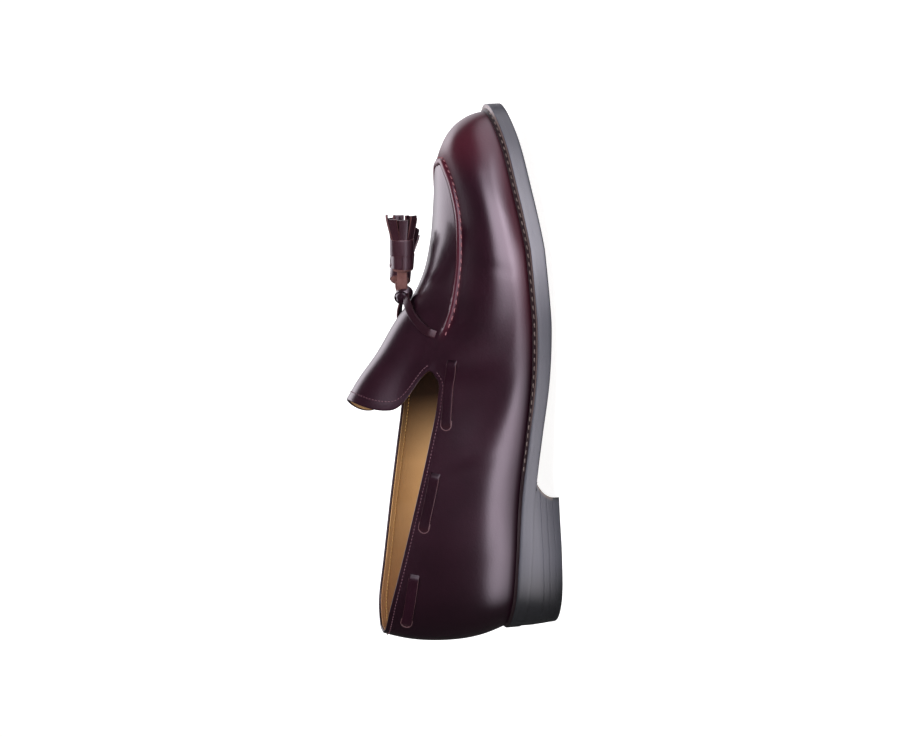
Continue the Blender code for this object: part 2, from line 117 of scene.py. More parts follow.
# The upper edge of the side wall: topline, then notch, then apron seam
EDGE = np.array([
    # station, x, lateral_y, lateral_z, medial_y, medial_z
    (4.0, 6.7, 0.0, 97.0, 0.0, 97.0),
    (10.0, 11.0, 11.5, 96.6, 11.5, 97.0),
    (22.0, 23.0, 20.5, 94.6, 20.5, 95.6),
    (45.0, 45.0, 26.0, 88.4, 26.0, 91.0),
    (80.0, 80.0, 30.0, 78.2, 31.5, 84.0),
    (110.0, 110.0, 32.5, 69.8, 34.8, 77.8),
    (135.0, 135.0, 33.2, 63.4, 36.0, 73.0),
    (145.0, 145.0, 33.3, 62.2, 35.8, 71.8),
    (153.0, 153.0, 33.0, 65.5, 34.6, 73.5),
    (165.0, 165.0, 33.6, 60.5, 32.4, 68.0),
    (180.0, 180.0, 35.0, 53.4, 30.8, 60.0),
    (200.0, 200.0, 35.2, 48.2, 30.4, 52.6),
    (230.0, 229.0, 32.0, 45.0, 28.3, 47.6),
    (258.0, 250.0, 25.0, 45.8, 22.6, 47.4),
    (280.0, 264.0, 15.5, 47.8, 14.4, 48.4),
    (300.0, 270.0, 0.0, 49.0, 0.0, 49.0),
])

# How the wall swells between feather and edge: reach out and share of the height of both handles
SWELL = np.array([
    # station, lateral_belly, medial_belly, belly_up, shoulder_out, shoulder_down
    (4.0, 7.5, 7.5, 0.31, 8.7, 0.36),
    (45.0, 9.5, 9.5, 0.25, 11.5, 0.33),
    (80.0, 8.5, 10.0, 0.26, 12.0, 0.28),
    (110.0, 6.5, 10.5, 0.30, 12.0, 0.30),
    (145.0, 6.5, 9.5, 0.32, 11.5, 0.27),
    (180.0, 6.0, 6.5, 0.42, 16.0, 0.25),
    (205.0, 5.5, 5.0, 0.46, 18.5, 0.27),
    (230.0, 5.5, 5.0, 0.50, 17.5, 0.27),
    (258.0, 3.5, 3.5, 0.52, 15.5, 0.22),
    (280.0, 1.5, 1.5, 0.52, 14.5, 0.15),
    (300.0, -0.4, -0.4, 0.50, 14.5, 0.11),
])

# Where each rib ends on the instep ridge, and how far it bows back as the tongue's lip
RIDGE_FOOT = np.array([
    # station, x, bow
    (153.0, 139.0, -18.0),
    (165.0, 157.0, -7.0),
    (180.0, 177.5, -1.5),
    (200.0, 199.5, 0.0),
    (230.0, 227.0, 0.0),
    (258.0, 245.0, 0.0),
    (280.0, 257.0, 0.0),
    (300.0, 262.0, 0.0),
])

RIDGE = np.array([
    # x, height
    (139.0, 109.0),
    (150.0, 101.5),
    (163.0, 91.0),
    (181.0, 78.5),
    (193.0, 69.0),
    (208.0, 60.5),
    (221.0, 56.5),
    (244.0, 52.9),
    (262.0, 51.0),
])


def smooth(keys, values, at):
    """Cubic curve through the rows; its slope at a row comes from both neighbours."""
    slopes = np.gradient(values, keys)
    i = np.clip(np.searchsorted(keys, at, side="right") - 1, 0, len(keys) - 2)
    span = keys[i + 1] - keys[i]
    t = (at - keys[i]) / span
    low = (1 + 2 * t) * (1 - t) ** 2 * values[i] + t * (1 - t) ** 2 * span * slopes[i]
    return low + t * t * (3 - 2 * t) * values[i + 1] + t * t * (t - 1) * span * slopes[i + 1]


def ramp(value, low, high):
    """Smooth step from 0 at low to 1 at high."""
    t = np.clip((value - low) / (high - low), 0, 1)
    return t * t * (3 - 2 * t)


def unit(vectors):
    """Vectors divided by their lengths."""
    return vectors / np.linalg.norm(vectors, axis=-1, keepdims=True)


def angle_of(station):
    """Stations are spaced as the angle of a half circle, so that heel and toe come out round."""
    share = (np.asarray(station, float) - SEAT_BACK) / (LENGTH - SEAT_BACK)
    return np.arccos(np.clip(1 - 2 * share, -1, 1)) / np.pi


def station_of(u):
    """Station at u: angle_of turned round."""
    return SEAT_BACK + (LENGTH - SEAT_BACK) * (1 - np.cos(np.pi * u)) / 2


def column(table, index, u):
    """One column of a table of stations, as a smooth curve over u."""
    return smooth(angle_of(table[:, 0]), table[:, index], u)


def tread(x):
    """Height of the sole's underside along the middle, flat between the two ends of the tread."""
    height = np.maximum(smooth(TREAD[:, 0], TREAD[:, 1], np.clip(x, SEAT_BACK, LENGTH)), 0)
    return np.where((x > FLAT_BACK) & (x < FLAT_FRONT), 0, height)


def edge_tread(x):
    """Height of the underside at the sole's edge, which curls up a little beside the tread."""
    return tread(x) + smooth(TREAD[:, 0], TREAD[:, 2], np.clip(x, SEAT_BACK, LENGTH))


def sole_edge(u, side):
    """Outline of the sole seen from above: station and half-width at u."""
    return np.stack([station_of(u), side * column(SOLE, 1 if side == LATERAL else 2, u)], -1)


def outward(u, side):
    """Normal of the sole's edge, seen from above."""
    step = 1e-4
    along = sole_edge(np.minimum(u + step, 1), side) - sole_edge(np.maximum(u - step, 0), side)
    return unit(side * np.stack([-along[..., 1], along[..., 0]], -1))


def inset_edge(u, side, inset):
    """The sole's edge moved inwards, still closed on the centre line at heel and toe."""
    plan = sole_edge(u, side) - outward(u, side) * np.broadcast_to(inset, u.shape)[..., None]
    plan[..., 1] *= (u > 0) & (u < 1)
    return plan


def welt_margin(u, side):
    """Width of the welt that shows beyond the upper."""
    return column(SOLE, 3 if side == LATERAL else 4, u)


def sole_top(x):
    """Height of the outsole's upper face, level across at the height of its edge."""
    return edge_tread(x) + smooth(TREAD[:, 0], TREAD[:, 3], np.clip(x, SEAT_BACK, LENGTH))


def welt_top(x):
    """Height of the welt's upper face beside the upper."""
    return sole_top(x) + GAP + WELT_THICK


def bezier(p0, p1, p2, p3, t):
    """Cubic curve between p0 and p3 that leaves towards p1 and arrives from p2."""
    t = t[..., None]
    return (1 - t) ** 3 * p0 + 3 * t * (1 - t) ** 2 * p1 + 3 * t * t * (1 - t) * p2 + t ** 3 * p3


def wall_handles(u, side):
    """The four handles of the wall's rib at u: feather, belly, shoulder and upper edge."""
    plan = inset_edge(u, side, welt_margin(u, side))
    feather = np.concatenate([plan, welt_top(plan[..., :1]) + GAP], -1)
    y_column = 2 if side == LATERAL else 4
    edge_y = side * np.maximum(column(EDGE, y_column, u), 0)
    edge = np.stack([column(EDGE, 1, u), edge_y, column(EDGE, y_column + 1, u)], -1)
    out = np.concatenate([outward(u, side), np.zeros(u.shape + (1,))], -1)
    out[..., 1] *= (u > 0) & (u < 1)
    up = np.array((0.0, 0.0, 1.0))
    rise = (edge - feather)[..., 2:]
    belly = column(SWELL, 1 if side == LATERAL else 2, u)[..., None]
    low = feather + belly * out + column(SWELL, 3, u)[..., None] * rise * up
    high = edge + column(SWELL, 4, u)[..., None] * out - column(SWELL, 5, u)[..., None] * rise * up
    return feather, low, high, edge


def wall_point(u, v, side):
    """The side wall: rib u from heel to toe, v from the feather up to the edge."""
    return bezier(*wall_handles(u, side), v)


def ridge_z(x):
    """Height of the instep ridge, on the centre line."""
    return smooth(RIDGE[:, 0], RIDGE[:, 1], x)


def apron_point(u, q, side):
    """Apron and tongue: rib u goes on from the wall's edge (q = 0) to the instep ridge (q = 1) as a cubic
    curve. The tongue's ribs bow back by q(1 - q)^2, which is 1 at its peak, and less near the notch."""
    _, _, shoulder, edge = wall_handles(u, side)
    ridge_x = column(RIDGE_FOOT, 1, u)
    ridge = np.stack([ridge_x, 0 * u, ridge_z(ridge_x)], -1)
    reach = np.linalg.norm(ridge - edge, axis=-1, keepdims=True)
    arrive = ridge - edge
    arrive[..., 2] = 0
    arrive[..., 0] *= np.clip((station_of(u) - TOE_FAN) / (LENGTH - TOE_FAN), 0, 1)
    leave = edge + EDGE_PULL * reach * unit(edge - shoulder)
    point = bezier(edge, leave, ridge - RIDGE_PULL * reach * unit(arrive), ridge, q)
    bow = BOW_PEAK * q * (1 - q) ** 2 * ramp(q, *BOW_RISE)
    point[..., 0] += column(RIDGE_FOOT, 2, u) * bow
    point[..., 1] *= (q < 1) & (u < 1)
    return point


def surface_normals(surface, u, v, side):
    """Outward normal of wall or apron, by small steps along both parameters."""
    step = 1e-3
    ahead = np.minimum(u + step, 1)
    along = surface(ahead, v, side) - surface(np.maximum(u - step, 0), v, side)
    up = surface(u, np.minimum(v + step, 1), side) - surface(u, np.maximum(v - step, 0), side)
    return unit(side * np.cross(up, along))


def grid_quads(rows, columns, flip=False, start=0):
    """Corner numbers of the quads of a grid that is numbered row by row."""
    first = start + np.arange((rows - 1) * columns).reshape(rows - 1, columns)[:, :-1].reshape(-1, 1)
    quads = first + np.array((0, columns, columns + 1, 1))
    return quads[:, ::-1] if flip else quads


def welded(points, quads):
    """Points that lie on each other made one; also gives the new number of every old point."""
    _, first, index = np.unique(np.round(points, 3), axis=0, return_index=True, return_inverse=True)
    index = index.reshape(-1)
    return points[first], index[quads], index, first


def point_normals(points, quads):
    """Mean normal of the quads round each point, from the cross product of their diagonals."""
    corner = points[quads]
    area = np.cross(corner[:, 2] - corner[:, 0], corner[:, 3] - corner[:, 1])
    normals = np.zeros_like(points)
    np.add.at(normals, quads.reshape(-1), np.repeat(area, 4, axis=0))
    return unit(normals)


# Points nearer than this become one, and edges shorter than this go, in metres
MERGE_REACH = 2e-6
SHORT_EDGE = 1e-7


def add_piece(name, points, quads, finish, slot, nodes=(), fields=None, sharp=0.9):
    """New piece on the body from points in the shoe's millimetres: equal points are merged, and edges
    turned by more than the angle sharp stay sharp."""
    mesh = bpy.data.meshes.new(name)
    world = (np.asarray(points).reshape(-1, 3) + SHIFT) * MM
    mesh.vertices.add(len(world))
    mesh.vertices.foreach_set("co", world.astype(np.float32).ravel())
    mesh.loops.add(quads.size)
    mesh.loops.foreach_set("vertex_index", quads.astype(np.int32).ravel())
    mesh.polygons.add(len(quads))
    mesh.polygons.foreach_set("loop_start", np.arange(0, quads.size, quads.shape[1], dtype=np.int32))
    for field, values in (fields or {}).items():
        attribute = mesh.attributes.new(field, "FLOAT", "POINT")
        attribute.data.foreach_set("value", np.asarray(values, np.float32).ravel())
    mesh.update(calc_edges=True)
    work = bmesh.new()
    work.from_mesh(mesh)
    bmesh.ops.remove_doubles(work, verts=work.verts, dist=MERGE_REACH)
    bmesh.ops.dissolve_degenerate(work, edges=work.edges, dist=SHORT_EDGE)
    work.to_mesh(mesh)
    work.free()
    mesh.materials.append(finish)
    mesh.shade_smooth()
    mesh.set_sharp_from_angle(angle=sharp)
    piece = bpy.data.objects.new(name, mesh)
    bpy.context.scene.collection.objects.link(piece)
    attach(piece, "root")
    if nodes:
        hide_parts(*nodes)
    return piece


def ring_solid(rings):
    """Closed solid through a stack of closed rings, with a fan at both ends: rings is (n, m, 3)."""
    first = np.repeat(rings[:1].mean(1, keepdims=True), rings.shape[1], 1)
    last = np.repeat(rings[-1:].mean(1, keepdims=True), rings.shape[1], 1)
    rings = np.concatenate([first, rings, last])
    rings = np.concatenate([rings, rings[:, :1]], 1)
    return rings.reshape(-1, 3), grid_quads(rings.shape[0], rings.shape[1])


def path_frame(path, normals):
    """Directions along, across and away from the surface at each point of a path."""
    along = unit(np.gradient(path, axis=0))
    across = unit(np.cross(normals, along))
    return along, across, np.cross(along, across)


def strap(path, normals, width, thick, sides=20, square=0.45):
    """Flat strap with rounded edges: an ellipse squared off by a power, carried along the path."""
    _, across, away = path_frame(path, normals)
    turn = np.linspace(0, 2 * np.pi, sides, endpoint=False)
    flat = np.sign(np.cos(turn)) * np.abs(np.cos(turn)) ** square / 2
    high = np.sign(np.sin(turn)) * np.abs(np.sin(turn)) ** square / 2
    width = np.broadcast_to(width, len(path))[:, None, None]
    thick = np.broadcast_to(thick, len(path))[:, None, None]
    rings = path[:, None] + across[:, None] * flat[:, None] * width + away[:, None] * high[:, None] * thick
    return ring_solid(rings)


def walked(path):
    """Length walked along a path up to each of its points."""
    return np.concatenate([[0], np.cumsum(np.linalg.norm(np.diff(path, axis=0), axis=1))])


def joined(parts):
    """Points and quads of several parts as one."""
    starts = np.cumsum([0] + [len(points) for points, _ in parts])
    quads = [faces + start for (_, faces), start in zip(parts, starts)]
    return np.concatenate([points for points, _ in parts]), np.concatenate(quads)


def spaced(path, pitch):
    """Points a pitch apart along a path, as the row number at each of them."""
    length = walked(path)
    count = max(int(round(length[-1] / pitch)), 1)
    return np.interp((np.arange(count) + 0.5) / count * length[-1], length, np.arange(len(path)))


def at_rows(values, rows):
    """Values of a path between its rows, by straight parts."""
    low = np.clip(rows.astype(int), 0, len(values) - 2)
    share = (rows - low)[:, None]
    return values[low] * (1 - share) + values[low + 1] * share


def stitch_row(path, normals, pitch, length, thick, lift=0.0, lean=0.0):
    """Thread stitches along a path: one small spindle, a ring of six carried on a bowed line, at each
    pitch. Lean turns each stitch out of the line of the path."""
    rows = spaced(path, pitch)
    along, across, away = (at_rows(part, rows) for part in path_frame(path, normals))
    along = unit(np.cos(lean) * along + np.sin(lean) * across)
    across = np.cross(away, along)
    centre = at_rows(path, rows)
    s = np.linspace(-1, 1, 7)[None, :, None, None]
    turn = np.linspace(0, 2 * np.pi, 6, endpoint=False)[None, None, :, None]
    radius = thick / 2 * np.sqrt(np.maximum(1 - 0.98 * s ** 4, 0))
    bow = lift + thick * 0.45 * (1 - s ** 2)
    part = [vector[:, None, None, :] for vector in (centre, along, across, away)]
    rings = part[0] + part[1] * s * length / 2 + part[3] * bow
    rings = rings + radius * (np.cos(turn) * part[2] + np.sin(turn) * part[3])
    rings = np.concatenate([rings, rings[:, :, :1]], 2)
    quads = grid_quads(rings.shape[1], rings.shape[2])
    number = rings.shape[1] * rings.shape[2]
    quads = (quads[None] + number * np.arange(len(rows))[:, None, None]).reshape(-1, 4)
    return rings.reshape(-1, 3), quads


def node(tree, kind, values=None, links=None, **settings):
    """New shader node with its settings, socket values and links from other nodes' outputs."""
    made = tree.nodes.new(kind)
    for name, value in settings.items():
        setattr(made, name, value)
    for socket, value in (values or {}).items():
        made.inputs[socket].default_value = value
    for socket, (source, output) in (links or {}).items():
        tree.links.new(source.outputs[output], made.inputs[socket])
    return made


def finish_of(name, **values):
    """New material with a Principled shader; values are its sockets, written with underscores."""
    made = bpy.data.materials.new(name)
    made.use_nodes = True
    shader = made.node_tree.nodes["Principled BSDF"]
    for key, value in values.items():
        shader.inputs[key.replace("_", " ").title().replace("Ior", "IOR")].default_value = value
    return made, made.node_tree, shader


def colour_ramp(tree, source, output, stops):
    """Colour between stops of (place, red, green, blue), driven by a node's output."""
    made = node(tree, "ShaderNodeValToRGB", links={"Fac": (source, output)})
    while len(made.color_ramp.elements) < len(stops):
        made.color_ramp.elements.new(0.5)
    for element, (place, *rgb) in zip(made.color_ramp.elements, stops):
        element.position = place
        element.color = (*rgb, 1)
    return made


# Finishes: colours are linear red, green and blue
SHEEN = (1.0, 0.87, 0.99)
INK = (0.050, 0.050, 0.064)
# Painted shade towards the back of sole, welt and heel edges: its colour, span along x in metres and share
REAR_PAINTED_SHADE = (0.010, 0.010, 0.012)
REAR_SPAN = (-0.104, -0.130)
REAR_SHARE = 0.96
# Painted shade in the welt's groove beside the upper
GROOVE_SHADE = (0.014, 0.007, 0.009)
SHADED_LEATHER = (0.004, 0.001, 0.0025)
POLISH = (("Specular IOR Level", 0.6), ("Coat Weight", 0.25))
POLISH_LEFT = 0.05
POLISH_GRAIN = (0.0010, 0.000028, 0.8)
FIBRE_TONES = (0.90, 1.08)
FIBRE_BUMP = (0.25, 0.00003)
# Painted shade on the lining: darker at the heel and deep towards the toe, where the inside lies in shade
LINING_PAINTED_SHADE = (
    # from heel to toe: place, red, green, blue
    (0.15, 0.52, 0.43, 0.43),
    (0.50, 1.0, 1.0, 1.0),
    (0.66, 1.0, 1.0, 1.0),
    (0.92, 0.055, 0.05, 0.08),
)


def attribute(tree, name):
    """Node that reads one of the piece's own attributes."""
    return node(tree, "ShaderNodeAttribute", attribute_name=name)


def object_noise(tree, scale, detail=2.0, roughness=0.5, stretch=(1, 1, 1)):
    """Noise on the piece's own coordinates, stretched along its axes."""
    place = node(tree, "ShaderNodeTexCoord")
    mapped = node(tree, "ShaderNodeMapping", {"Scale": stretch}, {"Vector": (place, "Object")})
    values = {"Scale": scale, "Detail": detail, "Roughness": roughness}
    return node(tree, "ShaderNodeTexNoise", values, {"Vector": (mapped, "Vector")})


def put_bump(tree, shader, height, strength, depth):
    """Bump on a shader from a node's output."""
    bump = node(tree, "ShaderNodeBump", {"Strength": strength, "Distance": depth}, {"Height": height})
    tree.links.new(bump.outputs["Normal"], shader.inputs["Normal"])


def grain_bump(tree, shader, cell, depth, fine):
    """Leather grain: rounded cells, with a share of finer unevenness, as a bump on the shader."""
    place = node(tree, "ShaderNodeTexCoord")
    values = {"Scale": 1 / cell, "Randomness": 1.0}
    cells = node(tree, "ShaderNodeTexVoronoi", values, {"Vector": (place, "Object")}, feature="SMOOTH_F1")
    pores = object_noise(tree, 1.6 / cell, 3)
    links = {0: (pores, "Fac"), 2: (cells, "Distance")}
    height = node(tree, "ShaderNodeMath", {1: fine}, links, operation="MULTIPLY_ADD")
    put_bump(tree, shader, (height, 0), 1.0, depth)


def mixed(tree, share, first, second):
    """Colour mixed by an output from another output and a plain colour."""
    values = {7: (*second, 1)}
    return node(tree, "ShaderNodeMix", values, {0: share, 6: first}, data_type="RGBA")


def polished_leather(name, dark, deep, red, rough):
    """Polished burgundy leather: two plum tones in slow clouds, redder where one of its attributes says and
    blacker by its attribute shade, which carries painted shade, with a grain and a waxed coat that its
    attribute dull takes away."""
    made, tree, shader = finish_of(name, roughness=rough, coat_roughness=0.2, specular_tint=(*SHEEN, 1))
    clouds = object_noise(tree, 38, 3, 0.55)
    plum = colour_ramp(tree, clouds, "Fac", ((0.25, *dark), (0.75, *deep)))
    colour = mixed(tree, (attribute(tree, "reddening"), "Fac"), (plum, "Color"), red)
    colour = mixed(tree, (attribute(tree, "shade"), "Fac"), (colour, 2), SHADED_LEATHER)
    tree.links.new(colour.outputs[2], shader.inputs["Base Color"])
    dull = attribute(tree, "dull")
    for socket, full in POLISH:
        values = {"To Min": full, "To Max": POLISH_LEFT * full}
        polish = node(tree, "ShaderNodeMapRange", values, {"Value": (dull, "Fac")})
        tree.links.new(polish.outputs["Result"], shader.inputs[socket])
    grain_bump(tree, shader, *POLISH_GRAIN)
    return made


def plain_leather(name, low, high, rough, cloud, grain, depth, painted_shades=None):
    """Unpolished leather: two tones in clouds, a grain bump and no coat; a list of shades, if given, darkens
    it with painted shade by its attribute along, which counts from the heel to the toe."""
    made, tree, shader = finish_of(name, roughness=rough)
    clouds = object_noise(tree, cloud, 4, 0.6)
    tone = colour_ramp(tree, clouds, "Fac", ((0.33, *low), (0.68, *high)))
    tree.links.new(tone.outputs["Color"], shader.inputs["Base Color"])
    if painted_shades:
        shade = colour_ramp(tree, attribute(tree, "along"), "Fac", painted_shades)
        links = {6: (tone, "Color"), 7: (shade, "Color")}
        shaded = node(tree, "ShaderNodeMix", {0: 1.0}, links, data_type="RGBA", blend_type="MULTIPLY")
        tree.links.new(shaded.outputs[2], shader.inputs["Base Color"])
    grain_bump(tree, shader, grain, depth, 1.0)
    return made


def inked_edge(name, bare, rough, lines):
    """Sole leather: inked and waxed on its edge, of another colour where its attribute says bare and painted
    shade where it says groove, with faint level lines of its fibres and painted shade towards the back."""
    made, tree, shader = finish_of(name, roughness=rough, coat_weight=0.32, coat_roughness=0.22)
    fibre = object_noise(tree, 70, 4, 0.65, (0.12, 0.12, lines))
    faint, strong = (tuple(share * c for c in INK) for share in FIBRE_TONES)
    tone = colour_ramp(tree, fibre, "Fac", ((0.30, *faint), (0.72, *strong)))
    # Painted shade: the edge goes near black towards the back
    place = node(tree, "ShaderNodeTexCoord")
    axes = node(tree, "ShaderNodeSeparateXYZ", links={"Vector": (place, "Object")})
    values = {"From Min": REAR_SPAN[0], "From Max": REAR_SPAN[1], "To Min": 0.0, "To Max": REAR_SHARE}
    rear = node(tree, "ShaderNodeMapRange", values, {"Value": (axes, "X")}, interpolation_type="SMOOTHSTEP")
    colour = mixed(tree, (rear, "Result"), (tone, "Color"), REAR_PAINTED_SHADE)
    colour = mixed(tree, (attribute(tree, "bare"), "Fac"), (colour, 2), bare)
    # Painted shade in the welt's groove
    colour = mixed(tree, (attribute(tree, "groove"), "Fac"), (colour, 2), GROOVE_SHADE)
    tree.links.new(colour.outputs[2], shader.inputs["Base Color"])
    put_bump(tree, shader, (fibre, "Fac"), *FIBRE_BUMP)
    return made


def thread(name, colour, rough=0.6):
    """Plain thread or cut edge of one colour."""
    made, _, _ = finish_of(name, base_color=(*colour, 1), roughness=rough)
    return made


UPPER = polished_leather(
    "burgundy_polish", (0.0098, 0.0021, 0.0053), (0.0170, 0.0039, 0.0090), (0.066, 0.009, 0.018), 0.28)
STRAP = polished_leather(
    "burgundy_strap", (0.0080, 0.0018, 0.0045), (0.0140, 0.0033, 0.0075), (0.115, 0.050, 0.056), 0.33)
TASSEL_LEATHER = polished_leather(
    "burgundy_tassel", (0.016, 0.005, 0.008), (0.036, 0.011, 0.017), (0.190, 0.080, 0.078), 0.36)
SUEDE = plain_leather("brown_suede", (0.085, 0.034, 0.032), (0.155, 0.066, 0.060), 0.85, 220, 0.0004, 0.00008)
LINING = plain_leather(
    "tan_lining", (0.62, 0.365, 0.160), (0.68, 0.425, 0.205), 0.52, 26, 0.0007, 0.00004, LINING_PAINTED_SHADE)
SOCK = plain_leather("tan_sock", (0.47, 0.32, 0.185), (0.55, 0.385, 0.235), 0.5, 22, 0.0006, 0.00003)
WELT = inked_edge("welt_wax", (0.125, 0.085, 0.080), 0.40, 8)
SOLE_EDGE = inked_edge("sole_ink", (0.14, 0.105, 0.085), 0.40, 8)
HEEL_EDGE = inked_edge("heel_ink", (0.15, 0.115, 0.095), 0.40, 10)
TOP_PIECE = inked_edge("top_piece_rubber", (0.030, 0.029, 0.030), 0.44, 10)
APRON_THREAD = thread("apron_thread", (0.22, 0.080, 0.095))
SUNK_THREAD = thread("sunk_thread", (0.020, 0.006, 0.010))
EDGE_THREAD = thread("topline_thread", (0.095, 0.040, 0.056))
GOLD_THREAD = thread("lining_thread", (0.52, 0.31, 0.11))
WELT_THREAD = thread("welt_thread", (0.13, 0.098, 0.090))
CUT_EDGE = thread("slit_edge", (0.115, 0.055, 0.065), 0.5)


# Ribs and rows of the upper's grids; rows crowd towards the apron seam
NOTCH_U = angle_of(NOTCH)
RIBS = np.concatenate([np.linspace(0, NOTCH_U, 96)[:-1], np.linspace(NOTCH_U, 1, 150)])
VAMP_RIBS = RIBS[RIBS >= NOTCH_U - 1e-9]
WALL_ROWS = 1 - (1 - np.linspace(0, 1, 46)) ** 1.35
APRON_ROWS = np.linspace(0, 1, 38) ** 1.35

# Soft creases pressed into the upper: middle and half-lengths along two directions of the side view
CREASES = (
    # side, x, z, reach_x, reach_z, lean, depth
    (LATERAL, 168.0, 52.0, 2.6, 10.0, 0.5, 0.35),
    (LATERAL, 174.5, 50.0, 2.2, 8.0, 0.6, -0.25),
    (LATERAL, 205.0, 34.0, 3.4, 11.0, -0.35, 0.22),
    (LATERAL, 97.0, 48.0, 3.5, 14.0, 0.25, 0.18),
    (LATERAL, 104.0, 47.0, 2.8, 12.0, 0.3, -0.14),
    (MEDIAL, 170.0, 58.0, 2.6, 11.0, 0.5, 0.35),
    (MEDIAL, 206.0, 36.0, 3.2, 10.0, -0.3, 0.25),
    (MEDIAL, 214.0, 35.0, 2.6, 9.0, -0.35, -0.18),
    (MEDIAL, 100.0, 50.0, 3.6, 14.0, 0.2, 0.2),
)

# Apron seam across itself: height, middle and half-width of its roll, then its two sewn grooves
SEAM_ROLL = (1.25, 1.2, 1.9)
SEAM_GROOVES = (
    # depth, place
    (0.32, -1.0),
    (0.26, 3.4),
)
GROOVE_WIDTH = 0.5
WAVE_HEIGHT = 0.07
BACK_SEAM = (0.30, 0.5, 14.0)

# Round the throat's corner the leather is drawn smooth: reach, share and rounds, and the border's part
NOTCH_REACH = 8.0
NOTCH_SHARE = 0.6
NOTCH_ROUNDS = 40
NOTCH_BORDER = 0.25
# Share of the lining's painted shade that the tongue's lining takes, as a place along
TONGUE_ALONG = 0.74


def bell(distance, reach, power=2):
    """Bell that is 1 at distance 0 and falls off by its reach."""
    return np.exp(-(distance / reach) ** power)


def seam_profile(distance):
    """Height of the apron seam across itself: a half ellipse on the apron's side between two grooves."""
    height, middle, half = SEAM_ROLL
    roll = height * np.sqrt(np.maximum(1 - ((distance - middle) / half) ** 2, 0))
    for depth, place in SEAM_GROOVES:
        roll = roll - depth * bell(distance - place, GROOVE_WIDTH)
    return roll


def seam_fade(station):
    """Share of the seam's form: it grows from nothing over its first stretch."""
    return ramp(station, SEAM_START, SEAM_START + SEAM_FADE)


def relief(points, station, distance):
    """How far the leather stands out: the seam's profile, a bell along two leaning directions for each
    crease, two crossed slow waves of unevenness and the sunk back seam."""
    x, y, z = points.T
    height = seam_profile(distance) * seam_fade(station)
    for side, at_x, at_z, reach_x, reach_z, lean, depth in CREASES:
        along = (x - at_x) + lean * (z - at_z)
        trough = bell(along, reach_x) * bell(z - at_z, reach_z)
        height = height - depth * trough * (side * y > 8)
    wave = np.sin(0.11 * x + 0.05 * z) * np.sin(0.13 * z + 0.9) + np.sin(0.07 * x - 0.16 * z + 2)
    depth, width, front = BACK_SEAM
    return height + WAVE_HEIGHT * wave - depth * bell(y, width) * (x < front)


def half_grids(side):
    """Wall and apron of one side, each with its ribs' stations and signed distance from the seam."""
    ribs, rows = np.meshgrid(RIBS, WALL_ROWS, indexing="ij")
    wall = wall_point(ribs, rows, side)
    vamp_ribs, apron_rows = np.meshgrid(VAMP_RIBS, APRON_ROWS, indexing="ij")
    apron = apron_point(vamp_ribs, apron_rows, side)
    below = -np.linalg.norm(wall - wall[:, -1:], axis=-1)
    above = np.linalg.norm(apron - apron[:, :1], axis=-1)
    points = np.concatenate([wall.reshape(-1, 3), apron.reshape(-1, 3)])
    station = np.concatenate([station_of(ribs).ravel(), station_of(vamp_ribs).ravel()])
    quads = np.concatenate([
        grid_quads(*ribs.shape, side == MEDIAL),
        grid_quads(*vamp_ribs.shape, side == MEDIAL, ribs.size),
    ])
    return points, quads, station, np.concatenate([below.ravel(), above.ravel()])


def border_numbers():
    """Numbers of one half's points along topline and lip, of the row next to them, and of the foot."""
    rows = len(WALL_ROWS)
    quarter = np.arange(len(RIBS) - len(VAMP_RIBS) + 1) * rows
    lip = len(RIBS) * rows + np.arange(1, len(APRON_ROWS))
    border = np.concatenate([quarter + rows - 1, lip])
    inside = np.concatenate([quarter + rows - 3, lip + 2 * len(APRON_ROWS)])
    return border, inside, np.arange(len(RIBS)) * rows


def relaxed(points, quads, share, rounds, border):
    """Points drawn towards the mean of their neighbours by a share each, some rounds over; those of the
    border loop keep to the loop."""
    pairs = np.concatenate([quads[:, (row, (row + 1) % 4)] for row in range(4)])
    pairs = np.concatenate([pairs, pairs[:, ::-1]])
    count = np.bincount(pairs[:, 0], minlength=len(points))[:, None]
    for _ in range(rounds):
        near = points[pairs[:, 1]]
        total = [np.bincount(pairs[:, 0], near[:, axis], len(points)) for axis in range(3)]
        mean = np.stack(total, -1) / count
        loop = points[border]
        mean[border] = (np.roll(loop, 1, 0) + np.roll(loop, -1, 0)) / 2
        points = points + share[:, None] * (mean - points)
    return points


